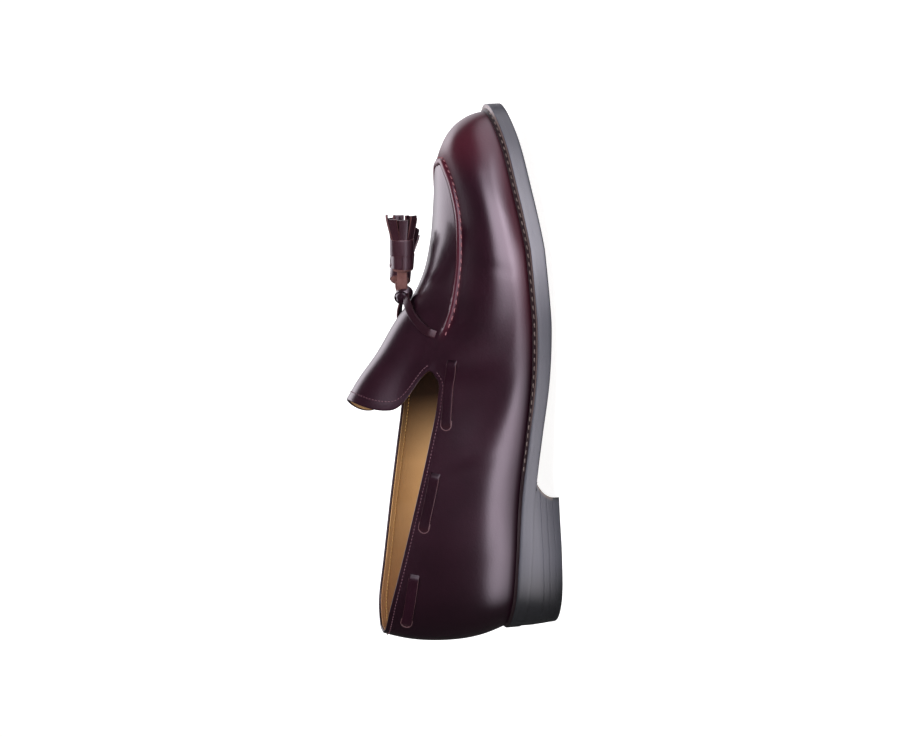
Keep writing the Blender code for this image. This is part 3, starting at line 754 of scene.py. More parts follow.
class Upper:
    """The upper's outer face as one welded surface, with its normals, border loop and foot loop."""

    def __init__(self):
        """Welds both halves, lifts the relief along the normals and smooths the throat."""
        halves = [half_grids(side) for side in SIDES]
        count = len(halves[0][0])
        points = np.concatenate([half[0] for half in halves])
        quads = np.concatenate([halves[0][1], halves[1][1] + count])
        points, self.quads, index, first = welded(points, quads)
        self.station = np.concatenate([half[2] for half in halves])[first]
        self.distance = np.concatenate([half[3] for half in halves])[first]
        self.normals = point_normals(points, self.quads)
        foot = np.abs(points[:, 2] - welt_top(points[:, 0]) - GAP) < 0.01
        self.normals[foot, 2] = 0
        self.normals = unit(self.normals)
        self.plain = points
        lift = relief(points, self.station, self.distance) * (1 - foot)
        border, inside, foot_row = border_numbers()
        self.border = self.loop(index, border, count)
        self.inside = self.loop(index, inside, count)
        self.foot = self.loop(index, foot_row, count)
        self.points = points + self.normals * lift[:, None]
        self.smooth_throat()
        self.away = self.border_away()

    def smooth_throat(self):
        """Draws the leather smooth round both corners of the throat and turns its normals to match."""
        share = bell(self.distance, NOTCH_REACH, 4) * (1 - seam_fade(self.station))
        share = NOTCH_SHARE * share * ramp(self.station, NOTCH - NOTCH_REACH, NOTCH - 3)
        moved = share.copy()
        moved[self.border] *= NOTCH_BORDER
        self.points = relaxed(self.points, self.quads, moved, NOTCH_ROUNDS, self.border)
        turned = point_normals(self.points, self.quads)
        blend = np.minimum(share * 3, 1)[:, None]
        self.normals = unit(self.normals * (1 - blend) + turned * blend)

    @staticmethod
    def loop(index, half, count):
        """Lateral row, then the medial row backwards, without the two shared points twice."""
        return np.concatenate([index[half], index[half + count][::-1][1:-1]])

    def border_away(self):
        """Direction out of the surface at its border, square to the border and to the normal."""
        edge = self.points[self.border]
        along = unit(np.roll(edge, -1, 0) - np.roll(edge, 1, 0))
        normals = self.normals[self.border]
        away = edge - self.points[self.inside]
        away -= (away * along).sum(1, keepdims=True) * along
        away -= (away * normals).sum(1, keepdims=True) * normals
        return unit(away)


upper = Upper()


def loop_quads(first, second):
    """Quads between two closed loops of point numbers."""
    return np.stack([first, np.roll(first, -1), np.roll(second, -1), second], -1)


def shell(depth, thick, round_rows, fields, inset=0.0):
    """Closed shell below the upper's face: outer copy at a depth, inner copy a thickness further in,
    joined over the border by a half circle of rows and along the foot by a flat edge."""
    outer = upper.points - upper.normals * depth
    inner = outer - upper.normals * thick
    border = upper.border
    away = upper.away
    outer[border] -= away * inset
    inner[border] -= away * inset
    middle = (outer[border] + inner[border]) / 2
    angle = np.linspace(0, np.pi, round_rows + 2)[1:-1, None, None]
    arc = middle + thick / 2 * (np.cos(angle) * upper.normals[border] + np.sin(angle) * away)
    count = len(outer)
    size = len(border)
    arc_rows = 2 * count + np.arange(round_rows * size).reshape(round_rows, size)
    loops = [border, *arc_rows, count + border]
    quads = [upper.quads, upper.quads[:, ::-1] + count]
    quads += [loop_quads(low, high) for low, high in zip(loops, loops[1:])]
    quads.append(loop_quads(count + upper.foot, upper.foot))
    points = np.concatenate([outer, inner, arc.reshape(-1, 3)])
    full = {}
    for name, values in fields.items():
        full[name] = np.concatenate([values, values, np.tile(values[border], round_rows)])
    return points, np.concatenate(quads), full


def upper_tones(height):
    """Where the leather is redder, blacker and duller: red along the seam, low on the wall and at the toe,
    blacker towards the heel and painted shade against the welt, dull beside the seam and at the foot."""
    station, distance = upper.station, upper.distance
    x = upper.plain[:, 0]
    seam = 0.75 * seam_fade(station) * bell(distance - 1.0, 2.4)
    foot = 0.85 * bell(height, 7.5) * ramp(station, 130, 210)
    toe = 0.72 * ramp(x, 248, 282)
    reddening = np.clip(seam + np.maximum(foot, toe), 0, 1)
    # shade: darker towards the heel, and painted shade in the crease where the wall meets the welt
    shade = np.maximum(0.75 * ramp(-x, -75, 0), 0.85 * bell(height, 2.2))
    below_seam = bell(np.maximum(-distance - 1.5, 0), 9.0) * (0.4 + 0.6 * ramp(-distance, 0, 1.6))
    below_seam = below_seam * seam_fade(station) * (distance < 3.2)
    dull = np.maximum(below_seam, bell(height, 3.8 - 1.4 * ramp(station, 150, 200), 4))
    return {"reddening": reddening, "shade": shade, "dull": dull}


def build_upper():
    """Leather shell with its tones, and the lining as a thinner shell inside it, with painted shade along it.
    """
    height = upper.plain[:, 2] - welt_top(upper.plain[:, 0])
    points, quads, fields = shell(0, LEATHER_THICK, 7, upper_tones(height))
    add_piece("upper_leather", points, quads, UPPER, "upper_leather", ("upper",), fields)
    # along: where the lining's painted shade falls, from heel to toe; the tongue's lining keeps a middle
    # share
    along = np.clip(upper.plain[:, 0] / (LENGTH / 2), 0, 1)
    along = np.where(upper.distance > 0.5, np.minimum(along, TONGUE_ALONG), along)
    points, quads, fields = shell(LEATHER_THICK + 0.05, LINING_THICK, 1, {"along": along}, 0.4)
    add_piece("upper_lining", points, quads, LINING, "lining_leather", (), fields)


build_upper()


# Sole and welt: step in under the welt, eased corners, stitch pitch, fall of the edge and rise of the slope
SKIN = 0.06
SOLE_STEP = 0.6
SOLE_CORNER = 0.9
SOLE_CORNER_AT_HEEL = 0.08
WELT_CORNER = 0.35
WELT_PITCH = 4.7
WELT_WAVE = 0.08
WELT_FALL = 0.9
WELT_SLOPE = 1.8
WELT_OVERLAP = 0.5
# Tones of the welt's rows: bare leather, and sunk rows that take painted shade
BARE = 1
SUNK = 2
WELT_ROWS = (
    # share of the margin, share of the slope, tone
    (0.10, 0.0, BARE),
    (0.30, 0.02, BARE),
    (0.50, 0.06, BARE),
    (0.56, 0.10, SUNK),
    (0.66, 0.30, SUNK),
    (0.80, 0.58, SUNK),
    (0.92, 0.85, SUNK),
)
WELT_BARE_FROM = (96, 125)
HEEL_PIECES = ("heel_top_piece", "heel_lift_1", "heel_lift_2", "heel_seat_lift")
HEEL_SIDE_STEPS = 61
HEEL_FRONT_STEPS = 41
SOCK_DISH = 0.6
SOCK_RIM = 0.9


def rounded_corner(radius, start, rows):
    """Steps round a quarter circle: inset from the edge and height, from the angle start upwards."""
    angle = np.linspace(start, start + np.pi / 2, rows)
    return radius * (1 - np.cos(angle)), radius * np.sin(angle)


def raised(plan, height):
    """Points of a plan at a height."""
    return np.concatenate([plan, np.broadcast_to(height, plan.shape[:1])[:, None]], -1)


def outsole_rows(u, side):
    """Section of the sole at each rib, as rows of plan, height and bareness: level strip, curl up to the
    edge, rounded lower corner, upright edge, a step in under the welt and flat top, closed on the
    centre line."""
    edge = inset_edge(u, side, 0)
    x = edge[:, 0]
    strip = np.clip(FLAT_SHARE * edge[:, 1], -FLAT_HALF, FLAT_HALF)
    low = edge_tread(x)
    high = sole_top(x)
    rows = [(np.stack([x, share * strip], -1), tread(x), 1) for share in (0, 0.5, 1)]
    for share in (0.5, 0.85):
        plan = np.stack([x, strip + share * (edge[:, 1] - strip)], -1)
        rows.append((plan, tread(x) + share * (low - tread(x)), 1))
    ease = SOLE_CORNER_AT_HEEL + (1 - SOLE_CORNER_AT_HEEL) * ramp(x, HEEL_BREAST + 6, HEEL_BREAST + 24)
    for inset, up in zip(*rounded_corner(SOLE_CORNER, -np.pi / 2, 5)):
        rows.append((inset_edge(u, side, ease * inset), low + ease * (up + SOLE_CORNER), 0))
    for inset, height in ((0, low + 0.35 * (high - low)), (0, high - SOLE_STEP)):
        rows.append((inset_edge(u, side, inset), height, 0))
    for height in (high - SOLE_STEP, high):
        rows.append((inset_edge(u, side, SKIN), height, 0))
    rows.append((np.stack([x, 0 * x], -1), high, 0))
    return rows


def build_outsole():
    """The sole's section carried along both sides from heel to toe."""
    u = np.linspace(0, 1, 181)
    parts = []
    for side in SIDES:
        rows = outsole_rows(u, side)
        section = np.stack([raised(plan, height) for plan, height, _ in rows], 1)
        parts.append((section.reshape(-1, 3), grid_quads(len(u), len(rows), side == MEDIAL)))
    bare = np.tile([row[2] for row in rows], len(u) * len(SIDES))
    add_piece("sole_leather", *joined(parts), SOLE_EDGE, "sole_leather", ("outsole",), {"bare": bare}, 0.7)


def welt_rows(u, side):
    """Section of the welt, as rows of inset, height and tone: edge flush with the sole's, rounded corner,
    slope with a stitch groove, and a lip against the foot of the upper. The wheel's marks are a small
    wave along the slope."""
    edge = sole_edge(u, side)
    margin = welt_margin(u, side)
    base = sole_top(edge[:, 0]) + 0.01
    top = base + WELT_THICK + GAP
    brink = top - WELT_FALL
    wave = np.cos(2 * np.pi * walked(edge) / WELT_PITCH)
    wheel = WELT_WAVE * wave * ramp(station_of(u), 96, 112)
    rows = [(SKIN, base, 0), (SKIN, base - WELT_OVERLAP, 0), (0.0, base - WELT_OVERLAP, 0)]
    rows += [(0.0, base + 0.5, 0), (0.0, brink - WELT_CORNER, 0)]
    for inset, up in zip(*rounded_corner(WELT_CORNER, 0.0, 4)):
        rows.append((inset, brink - WELT_CORNER + up, 0))
    for share, rise, tone in WELT_ROWS:
        height = brink + WELT_SLOPE * rise + wheel * (1 - share)
        rows.append((WELT_CORNER + share * (margin - WELT_CORNER), height, tone))
    rows += [(margin - 0.15, brink + WELT_SLOPE, SUNK), (margin + WELT_HOLD, top, SUNK)]
    return rows + [(margin + WELT_HOLD, base, BARE), (SKIN, base, BARE)]


def build_welt():
    """The welt's section carried along both sides; its sunk rows take painted shade, and behind the waist
    its bare rows take the same painted shade."""
    u = np.linspace(0, 1, 701)
    parts = []
    for side in SIDES:
        rows = welt_rows(u, side)
        section = np.stack([raised(inset_edge(u, side, inset), height) for inset, height, _ in rows], 1)
        parts.append((section.reshape(-1, 3), grid_quads(len(u), len(rows), side == LATERAL)))
    tones = np.tile([row[2] for row in rows], len(u) * len(SIDES))
    front = np.tile(np.repeat(ramp(station_of(u), *WELT_BARE_FROM), len(rows)), len(SIDES))
    bare = (tones == BARE) * front
    # groove: painted shade on the sunk rows, and behind the waist on the bare rows too
    fields = {"bare": bare, "groove": np.maximum(tones == SUNK, (tones == BARE) - bare)}
    add_piece("welt_strip", *joined(parts), WELT, "welt_leather", ("welt",), fields)


def heel_ring(height, inset, seat):
    """Heel outline at one height: lateral edge, hollow breast, medial edge back to the middle. The seat's
    ring follows the underside of the sole."""
    breast = HEEL_BREAST + BREAST_SWEEP * (height / HEEL_FRONT) ** 3
    taper = HEEL_INSET + HEEL_TAPER * (HEEL_FRONT - height) + inset
    edges = []
    for side in SIDES:
        end = angle_of(breast - inset + (BREAST_MEDIAL if side == MEDIAL else 0))
        edges.append(inset_edge(np.linspace(0, end, HEEL_SIDE_STEPS), side, taper))
    share = np.linspace(0, 1, HEEL_FRONT_STEPS)[:, None]
    front = edges[0][-1] * (1 - share) + edges[1][-1] * share
    front[:, 0] -= (BREAST_HOLLOW * 4 * share * (1 - share))[:, 0]
    plan = np.concatenate([edges[0], front[1:-1], edges[1][::-1][:-1]])
    return raised(plan, tread(plan[:, 0]) + 0.2 if seat else height)


def heel_rings(number):
    """Rings of one lift from its eased lower corner up to the next lift or to the sole."""
    last = number == len(HEEL_PIECES) - 1
    low = HEEL_LEVELS[number] + (0.02 if number else 0)
    high = HEEL_FRONT if last else HEEL_LEVELS[number + 1]
    ease = 0.05 if number else 0.35
    steps = [(low, ease), (low + 0.5 * ease, 0.15 * ease), (low + ease, 0)]
    steps += [(height, 0) for height in np.linspace(low + ease, high - 0.1, 7)[1:]]
    rings = [heel_ring(height, inset, False) for height, inset in steps]
    rings.append(heel_ring(high, 0 if last else 0.05, last))
    return np.stack(rings)


def build_heel():
    """Each lift is a stack of rings with its corners eased, and the breast is left bare leather."""
    for number, name in enumerate(HEEL_PIECES):
        rings = heel_rings(number)
        breast = np.zeros(rings.shape[1] + 1)
        breast[HEEL_SIDE_STEPS:HEEL_SIDE_STEPS + HEEL_FRONT_STEPS - 2] = 1
        points, quads = ring_solid(rings[:, ::-1])
        bare = np.tile(breast[::-1], len(rings) + 2)
        if number == 0:
            bare[:len(breast)] = 1
        finish, slot = (HEEL_EDGE, "sole_leather") if number else (TOP_PIECE, "heel_rubber")
        label = name.replace("heel_", "stacked_")
        add_piece(label, points, quads, finish, slot, (name,), {"bare": bare}, 0.6)


def build_sock():
    """Tan sock on the insole: straight lines from edge to edge, dished in the middle and drawn up at the
    rim, over the insole's block."""
    u = np.linspace(0, 1, 121)
    edges = [inset_edge(u, side, welt_margin(u, side) + INSOLE_INSET) for side in SIDES]
    share = np.linspace(0, 1, 41)
    plan = edges[0][:, None] * (1 - share)[:, None] + edges[1][:, None] * share[:, None]
    middle = 4 * share * (1 - share)
    rise = INSOLE_RISE - SOCK_DISH * middle ** 2 + SOCK_RIM * (1 - middle) ** 6
    top = np.concatenate([plan, (welt_top(plan[..., 0]) + rise)[..., None]], -1)
    foot = np.concatenate([plan, (sole_top(plan[..., 0]) + GAP)[..., None]], -1)
    sheets = np.concatenate([top, foot[:, ::-1], top[:, :1]], 1)
    quads = grid_quads(*sheets.shape[:2])
    add_piece("insole_sock", sheets.reshape(-1, 3), quads, SOCK, "lining_leather", ("insole",))


build_outsole()
build_welt()
build_heel()
build_sock()


# Lace that shows along the collar: front and back end of each strand
COLLAR_LACE = (
    # x_front, x_back, lateral_front_z, lateral_back_z, medial_front_z, medial_back_z
    (159.0, 119.0, 55.3, 61.0, 63.3, 68.3),
    (98.0, 63.0, 67.3, 76.6, 73.8, 80.8),
    (43.0, 12.5, 81.6, 87.2, 84.2, 87.6),
)
LACE_WIDTH = 5.6
LACE_THICK = 1.3
LACE_STAND = 0.45
LACE_SIDES = 24
SLIT_DIVE = 4.5
SLIT_DEPTH = 0.9
SLIT_THICK = 0.5
SLIT_RADIUS = 3.05
SLIT_LEGS = (2.4, 0.3)
SLIT_RIM = (0.5, 0.6)

TIE_STATIONS = (171.0, 193.5)
TIE_SHARES = (0.10, 0.94)
TIE_WIDTH = 4.5
TIE_THICK = 1.5
TIE_SIDES = 20
KNOT_X = 192.0
KNOT_HALF = (5.4, 5.2, 3.4)
KNOT_STAND = 4.7
KNOT_BAND = (5.0, 1.25)
KNOT_BAND_HALF = (5.3, 3.5)
KNOT_BANDS = (
    # slant, reach
    (0.45, 1.0),
    (-0.5, 1.12),
)

# Tassel along its own axis, counted from the end of its neck
TASSEL_NECK = {LATERAL: 8.5, MEDIAL: 3.0}
TASSEL_START = (199.8, 5.0, 74.6)
TASSEL_END = {LATERAL: (240.0, 14.5, 74.0), MEDIAL: (238.0, 17.0, 67.0)}
HEAD_RADIUS = 6.0
HEAD_TURNS = 3.4
HEAD_STRAP = 1.2
HEAD_START = 0.7
HEAD_SIDES = 24
HEAD_WRAPS = (
    # from, to, turns, radius, growth with each turn, thickness
    (1.0, 17.5, HEAD_TURNS, HEAD_RADIUS - HEAD_TURNS * HEAD_STRAP, HEAD_STRAP, 1.15),
    (8.6, 17.8, 1.15, HEAD_RADIUS + 0.15, 0.25, 0.95),
)
NECK_WIDTH = (6.0, 5.8)
NECK_THICK = 1.9
NECK_TWIST = (1.25, 1.0)
HEAD_END = (
    # radius, place along the axis
    (1.2, -0.7),
    (3.6, -0.5),
    (5.2, 0.1),
    (5.7, 1.2),
)
FRINGE = np.array([
    # along, radius
    (15.5, 5.0),
    (18.5, 5.7),
    (23.0, 6.8),
    (27.0, 7.7),
    (30.0, 8.2),
])
FRINGE_STRIPS = 8
FRINGE_INNER = 5
FRINGE_WIDTH = (4.2, 5.2)
FRINGE_THICK = 1.2
FRINGE_SIDES = 12
FRINGE_ROWS = 12
FRINGE_RAGGED = 1.3
GOLDEN_ANGLE = np.pi * (3 - np.sqrt(5))
# Thin sides of straps go lighter red: the cut edge's own colour, and partly a painted highlight
CUT_SHADE = 0.75
STRAP_DULL = 0.65
TIE_DULL = 0.65
TASSEL_DULL = 0.25


def wall_at(u, height, side):
    """The wall's row at a height on each rib, found by halving the span of rows that holds it."""
    low = np.full(u.shape, 0.3)
    high = np.ones(u.shape)
    for _ in range(22):
        middle = (low + high) / 2
        above = wall_point(u, middle, side)[..., 2] > height
        high = np.where(above, middle, high)
        low = np.where(above, low, middle)
    return low


def strap_field(rows, sides, rim):
    """Attribute of a strap's points: a value for each row of its path, and at least rim on its thin sides."""
    turn = np.linspace(0, 2 * np.pi, sides + 1)
    thin = rim * (np.abs(np.sin(turn)) < 0.3)
    return np.maximum(np.pad(rows, 1, mode="edge")[:, None], thin).ravel()


def slit_lip(centre, along, across, normal, name):
    """Cut edge of a slit: a thin cord bent to a U, a half circle with two legs, round the strap's end."""
    turn = np.linspace(-np.pi / 2, np.pi / 2, 15)[:, None]
    leg = np.linspace(*SLIT_LEGS, 5)[:, None]
    bend = centre + SLIT_RADIUS * (np.cos(turn) * along + np.sin(turn) * across)
    path = np.concatenate([bend[:1] - leg * along, bend, bend[-1:] - leg[::-1] * along])
    points, quads = strap(path, np.broadcast_to(normal, path.shape), *SLIT_RIM, 8, 1.0)
    add_piece(name, points, quads, CUT_EDGE, "lace_leather")


def lay_strand(u, v, side, label):
    """One strand: a strap on the wall that dives through a slit at both ends, and its slit's rim."""
    normals = surface_normals(wall_point, u, v, side)
    path = wall_point(u, v, side)
    gone = walked(path)
    left = gone[-1] - gone
    out = ramp(gone, 0, SLIT_DIVE) * ramp(left, 0, SLIT_DIVE)
    lift = (LACE_STAND + SLIT_DEPTH) * out - SLIT_DEPTH + 0.35 * bell(gone - 5.0, 2.5)
    thick = SLIT_THICK + (LACE_THICK - SLIT_THICK) * out
    points, quads = strap(path + normals * lift[:, None], normals, LACE_WIDTH, thick, LACE_SIDES)
    # shade: painted shade at the strand's front end, where it dives into its slit
    fields = {
        "reddening": strap_field(0.25 * bell(left, 3), LACE_SIDES, CUT_SHADE),
        "dull": np.full(len(points), STRAP_DULL),
        "shade": strap_field(0.9 * bell(gone, 3.2, 4), LACE_SIDES, 0),
    }
    name = f"laced_strand_{label}"
    add_piece(name, points, quads, STRAP, "lace_leather", (f"collar_lace_{label}",), fields)
    along, across, _ = path_frame(path, normals)
    at = np.searchsorted(gone, gone[-1] - SLIT_RADIUS - 1.2)
    slit_lip(path[at] + 0.1 * normals[at], along[at], across[at], normals[at], f"slit_edge_{label}")


def build_collar_lace():
    """Three strands along the collar on each side, at heights that run straight from end to end."""
    for number, (front, back, *heights) in enumerate(COLLAR_LACE, 1):
        u = angle_of(np.linspace(front, back, 56))
        for side, ends in zip(SIDES, (heights[:2], heights[2:])):
            v = wall_at(u, np.linspace(*ends, len(u)), side)
            lay_strand(u, v, side, f"{SIDE_NAMES[side]}_{number}")


def knot_frame():
    """Middle of the knot above the instep ridge, and its directions forward, across and outward."""
    slope = np.arctan(np.gradient(ridge_z(KNOT_X + np.array((-1, 0, 1))))[1])
    forward = np.array((np.cos(slope), 0, np.sin(slope)))
    normal = np.array((-np.sin(slope), 0, np.cos(slope)))
    centre = np.array((KNOT_X, 0, ridge_z(KNOT_X))) + normal * KNOT_STAND
    return centre, forward, np.array((0.0, 1.0, 0.0)), normal


def build_knot():
    """Round core, an ellipsoid, with two straps wound over it as ellipses at opposite slants."""
    centre, forward, across, normal = knot_frame()
    theta = np.linspace(0, np.pi, 25)[:, None, None]
    phi = np.linspace(0, 2 * np.pi, 41)[None, :, None]
    ball = centre + KNOT_HALF[0] * np.sin(theta) * np.cos(phi) * forward
    ball = ball + KNOT_HALF[1] * np.sin(theta) * np.sin(phi) * across + KNOT_HALF[2] * np.cos(theta) * normal
    parts = [(ball.reshape(-1, 3), grid_quads(25, 41))]
    turn = np.linspace(0, 2 * np.pi, 49)[:, None]
    for slant, reach in KNOT_BANDS:
        level = np.cos(slant) * across + np.sin(slant) * forward
        away = np.cos(turn) * level + np.sin(turn) * normal
        wide, high = KNOT_BAND_HALF
        path = centre + reach * (np.cos(turn) * level * wide + np.sin(turn) * normal * high)
        parts.append(strap(path, away, *KNOT_BAND, 16))
    return add_piece("tied_knot", *joined(parts), STRAP, "lace_leather", ("tassel_knot",))


def smooth_path(points, count):
    """Smooth curve through a few points, evenly stepped."""
    points = np.asarray(points, float)
    gone = walked(points)
    at = np.linspace(0, gone[-1], count)
    return np.stack([smooth(gone, points[:, axis], at) for axis in range(3)], -1)


def build_tie(side, knot_pieces):
    """Lace from the hole beside the tongue, up through the leather and over the instep: a strap along the
    apron that rises to the knot."""
    share = np.linspace(0, 1, 40)
    u = angle_of(np.linspace(*TIE_STATIONS, 40))
    q = TIE_SHARES[0] + (TIE_SHARES[1] - TIE_SHARES[0]) * share ** 0.9
    normals = surface_normals(apron_point, u, q, side)
    lift = -1.2 + 2.4 * ramp(share, 0, 0.14) + (KNOT_STAND - 1.6) * ramp(share, 0.35, 1.05)
    path = apron_point(u, q, side) + normals * lift[:, None]
    points, quads = strap(path, normals, TIE_WIDTH, TIE_THICK, TIE_SIDES)
    label = SIDE_NAMES[side]
    reddening = 0.25 * bell(walked(path), 4) + 0.04
    fields = {"reddening": strap_field(reddening, TIE_SIDES, CUT_SHADE), "dull": np.full(len(points), TIE_DULL)}
    nodes = (f"tassel_lace_{label}",)
    lace = add_piece(f"tied_lace_{label}", points, quads, STRAP, "lace_leather", nodes, fields)


def tassel_frame(side):
    """Start and directions of a tassel: along its axis, level across and upward."""
    mirror = np.array((1, side, 1))
    start = np.array(TASSEL_START) * mirror
    axis = unit(np.array(TASSEL_END[side]) * mirror - start)
    level = unit(np.cross((0, 0, 1), axis))
    return start, axis, level, np.cross(axis, level)


def build_neck(side, base):
    """Flesh side of the lace: a twisted strap from the knot to the head, and the head's rough end, a
    shallow dome round the axis."""
    start, axis, level, rise = tassel_frame(side)
    centre, _, _, up = knot_frame()
    neck = smooth_path([centre + 0.8 * up + np.array((1, side * 1.5, 0)), start, base + 1.5 * axis], 20)
    twist = np.linspace(*NECK_TWIST, len(neck))[:, None]
    facing = np.cos(twist) * rise + np.sin(twist) * level * side
    turn = np.linspace(0, 2 * np.pi, 32, endpoint=False)[:, None]
    spoke = np.cos(turn) * level + np.sin(turn) * rise
    dome = np.stack([base + axis * deep + spoke * wide for wide, deep in HEAD_END])
    width = np.linspace(*NECK_WIDTH, len(neck))
    parts = [strap(neck, facing, width, NECK_THICK, 16), ring_solid(dome[:, ::-1])]
    return add_piece(f"tassel_neck_{SIDE_NAMES[side]}", *joined(parts), SUEDE, "lace_leather")


def fringe_strips(base, axis, level, rise):
    """Cut strips round the axis in two rings, each with its own length and lean: straps that spread along
    the fringe's radius, with steps of the golden angle for their unevenness."""
    parts = []
    for number in range(FRINGE_STRIPS + FRINGE_INNER):
        inner = number >= FRINGE_STRIPS
        reach = 0.5 if inner else 1.0
        vary = GOLDEN_ANGLE * number
        at = 2 * np.pi * number / (FRINGE_INNER if inner else FRINGE_STRIPS) + 0.10 * np.sin(vary)
        end = FRINGE[-1, 0] + FRINGE_RAGGED * np.sin(1.7 * vary)
        along = np.linspace(FRINGE[0, 0], end, FRINGE_ROWS)
        radius = reach * smooth(FRINGE[:, 0], FRINGE[:, 1], np.minimum(along, FRINGE[-1, 0]))
        bend = at + 0.10 * np.sin(2.3 * vary) * (along - along[0]) / 15
        away = np.cos(bend)[:, None] * level + np.sin(bend)[:, None] * rise
        path = base + along[:, None] * axis + radius[:, None] * away
        width = reach * np.linspace(*FRINGE_WIDTH, FRINGE_ROWS)
        parts.append(strap(path, away, width, FRINGE_THICK, FRINGE_SIDES, 0.3))
    return parts


def head_wraps(side, base, axis, level, rise):
    """Head rolled from a strap that winds outward as a spiral, and a narrower wrap round its upper part."""
    parts = []
    for low, high, turns, radius, growth, thick in HEAD_WRAPS:
        gone = np.linspace(0, turns, 130)[:, None]
        turn = HEAD_START + 2 * np.pi * gone
        spoke = np.cos(turn) * level + side * np.sin(turn) * rise
        roll = base + axis * (low + high) / 2 + spoke * (radius + growth * gone)
        parts.append(strap(roll, spoke, high - low, thick, HEAD_SIDES, 0.25))
    return parts


def build_tassel(side):
    """Suede neck, rolled head and the cut strips that come out of it, lighter along their cut edges: their
    own colour, and partly painted highlight.
    """
    start, axis, level, rise = tassel_frame(side)
    base = start + TASSEL_NECK[side] * axis
    suede = build_neck(side, base)
    wraps = head_wraps(side, base, axis, level, rise)
    strips = fringe_strips(base, axis, level, rise)
    fields = [strap_field(np.zeros(130), HEAD_SIDES, CUT_SHADE) for _ in wraps]
    fields += [strap_field(np.zeros(FRINGE_ROWS), FRINGE_SIDES, CUT_SHADE) for _ in strips]
    reddening = np.concatenate(fields)
    fields = {"reddening": reddening, "dull": np.full(len(reddening), TASSEL_DULL)}
    label = SIDE_NAMES[side]
    points, quads = joined(wraps + strips)
    nodes = (f"tassel_{label}",)
    tassel = add_piece(f"cut_tassel_{label}", points, quads, TASSEL_LEATHER, "lace_leather", nodes, fields)
    return [suede, tassel]


build_collar_lace()
knot = build_knot()
for each in SIDES:
    build_tie(each, build_tassel(each) + ([knot] if each == LATERAL else []))


# Rows of stitches, in millimetres
SEAM_PITCH = 4.5
EDGE_PITCH = 1.9
STITCH_ROWS = (
    # name, line, depth, pitch, length, thickness, lift, lean, finish
    ("apron_stitch_wall", "seam", 1.0, SEAM_PITCH, 2.8, 0.75, -0.25, 0.12, APRON_THREAD),
    ("apron_stitch_inner", "seam", -3.4, SEAM_PITCH, 2.6, 0.75, -0.20, 0.12, SUNK_THREAD),
    ("topline_stitch", "topline", 2.0, EDGE_PITCH, 1.35, 0.5, -0.05, 0.0, EDGE_THREAD),
    ("lip_stitch", "lip", 2.0, EDGE_PITCH, 1.35, 0.5, -0.05, 0.0, EDGE_THREAD),
)
LINING_STITCH_DEPTH = 3.4
LINING_STITCH = (2.0, 1.45, 0.5, -0.05)
WELT_STITCH = (WELT_PITCH, 2.8, 0.75, 0.0, 0.1)
WELT_STITCH_FROM = 92
WELT_STITCH_SHARE = 0.70
WELT_STITCH_RISE = 0.40


def both_sides(line, meet=1):
    """Path and normals of a line on the lateral side, then of the medial one backwards, without the points
    where they meet twice."""
    lateral, medial = (line(side) for side in SIDES)
    return [np.concatenate([first, last[::-1][meet:]]) for first, last in zip(lateral, medial)]


def on_surface(surface, u, row, side):
    """Points and normals of wall or apron along a line of rows."""
    return surface(u, row, side), surface_normals(surface, u, row, side)


def wall_row_below(u, depth, side):
    """The wall's row a depth below its upper edge: the rib's speed there is three times its handle."""
    _, _, shoulder, edge = wall_handles(u, side)
    return 1 - depth / (3 * np.linalg.norm(edge - shoulder, axis=-1))


def apron_row_above(u, depth, side):
    """The apron's row a depth above its lower edge, by the rib's speed there."""
    ridge_x = column(RIDGE_FOOT, 1, u)
    ridge = np.stack([ridge_x, 0 * u, ridge_z(ridge_x)], -1)
    reach = np.linalg.norm(apron_point(u, 0 * u, side) - ridge, axis=-1)
    return depth / (3 * EDGE_PULL * reach)


def seam_line(depth):
    """Path round the apron seam, a depth below it on the wall, or above it on the apron if negative."""
    u = np.linspace(angle_of(SEAM_START + 3), 1, 160)
    if depth > 0:
        return both_sides(lambda side: on_surface(wall_point, u, wall_row_below(u, depth, side), side))
    return both_sides(lambda side: on_surface(apron_point, u, apron_row_above(u, -depth, side), side))


def topline(depth):
    """Path along the topline from the notch round the heel to the other notch, a depth below the edge."""
    u = np.linspace(angle_of(NOTCH - 2.0), 0, 150)
    return both_sides(lambda side: on_surface(wall_point, u, wall_row_below(u, depth, side), side))


def lip_line(depth):
    """Path along the tongue's lip, a depth in from its edge."""
    q = np.linspace(0.04, 0.995, 70)
    u = angle_of(NOTCH + depth * (0.85 + 0.35 * q))
    return both_sides(lambda side: on_surface(apron_point, u, q, side), 0)


def welt_line(side):
    """Path in the welt's groove and the normals of its slope."""
    u = np.linspace(angle_of(WELT_STITCH_FROM), 1, 260)
    margin = welt_margin(u, side)
    plan = inset_edge(u, side, WELT_CORNER + WELT_STITCH_SHARE * (margin - WELT_CORNER))
    path = raised(plan, welt_top(plan[:, 0]) - WELT_FALL + WELT_STITCH_RISE * WELT_SLOPE)
    return path, unit(raised(0.9 * outward(u, side), 1.0))


def build_stitches():
    """Thread in the apron seam, along topline and lip, on the lining and in the welt's groove."""
    lines = {"seam": seam_line, "topline": topline, "lip": lip_line}
    for name, line, depth, pitch, length, thick, lift, lean, finish in STITCH_ROWS:
        points, quads = stitch_row(*lines[line](depth), pitch, length, thick, lift, lean)
        add_piece(name, points, quads, finish, "upper_leather")
    path, normals = topline(LINING_STITCH_DEPTH)
    inner = path - normals * (LEATHER_THICK + LINING_THICK + 0.08)
    points, quads = stitch_row(inner, -normals, *LINING_STITCH)
    add_piece("lining_stitch", points, quads, GOLD_THREAD, "lining_leather")
    points, quads = stitch_row(*both_sides(welt_line), *WELT_STITCH)
    add_piece("welt_stitch", points, quads, WELT_THREAD, "welt_leather")


build_stitches()


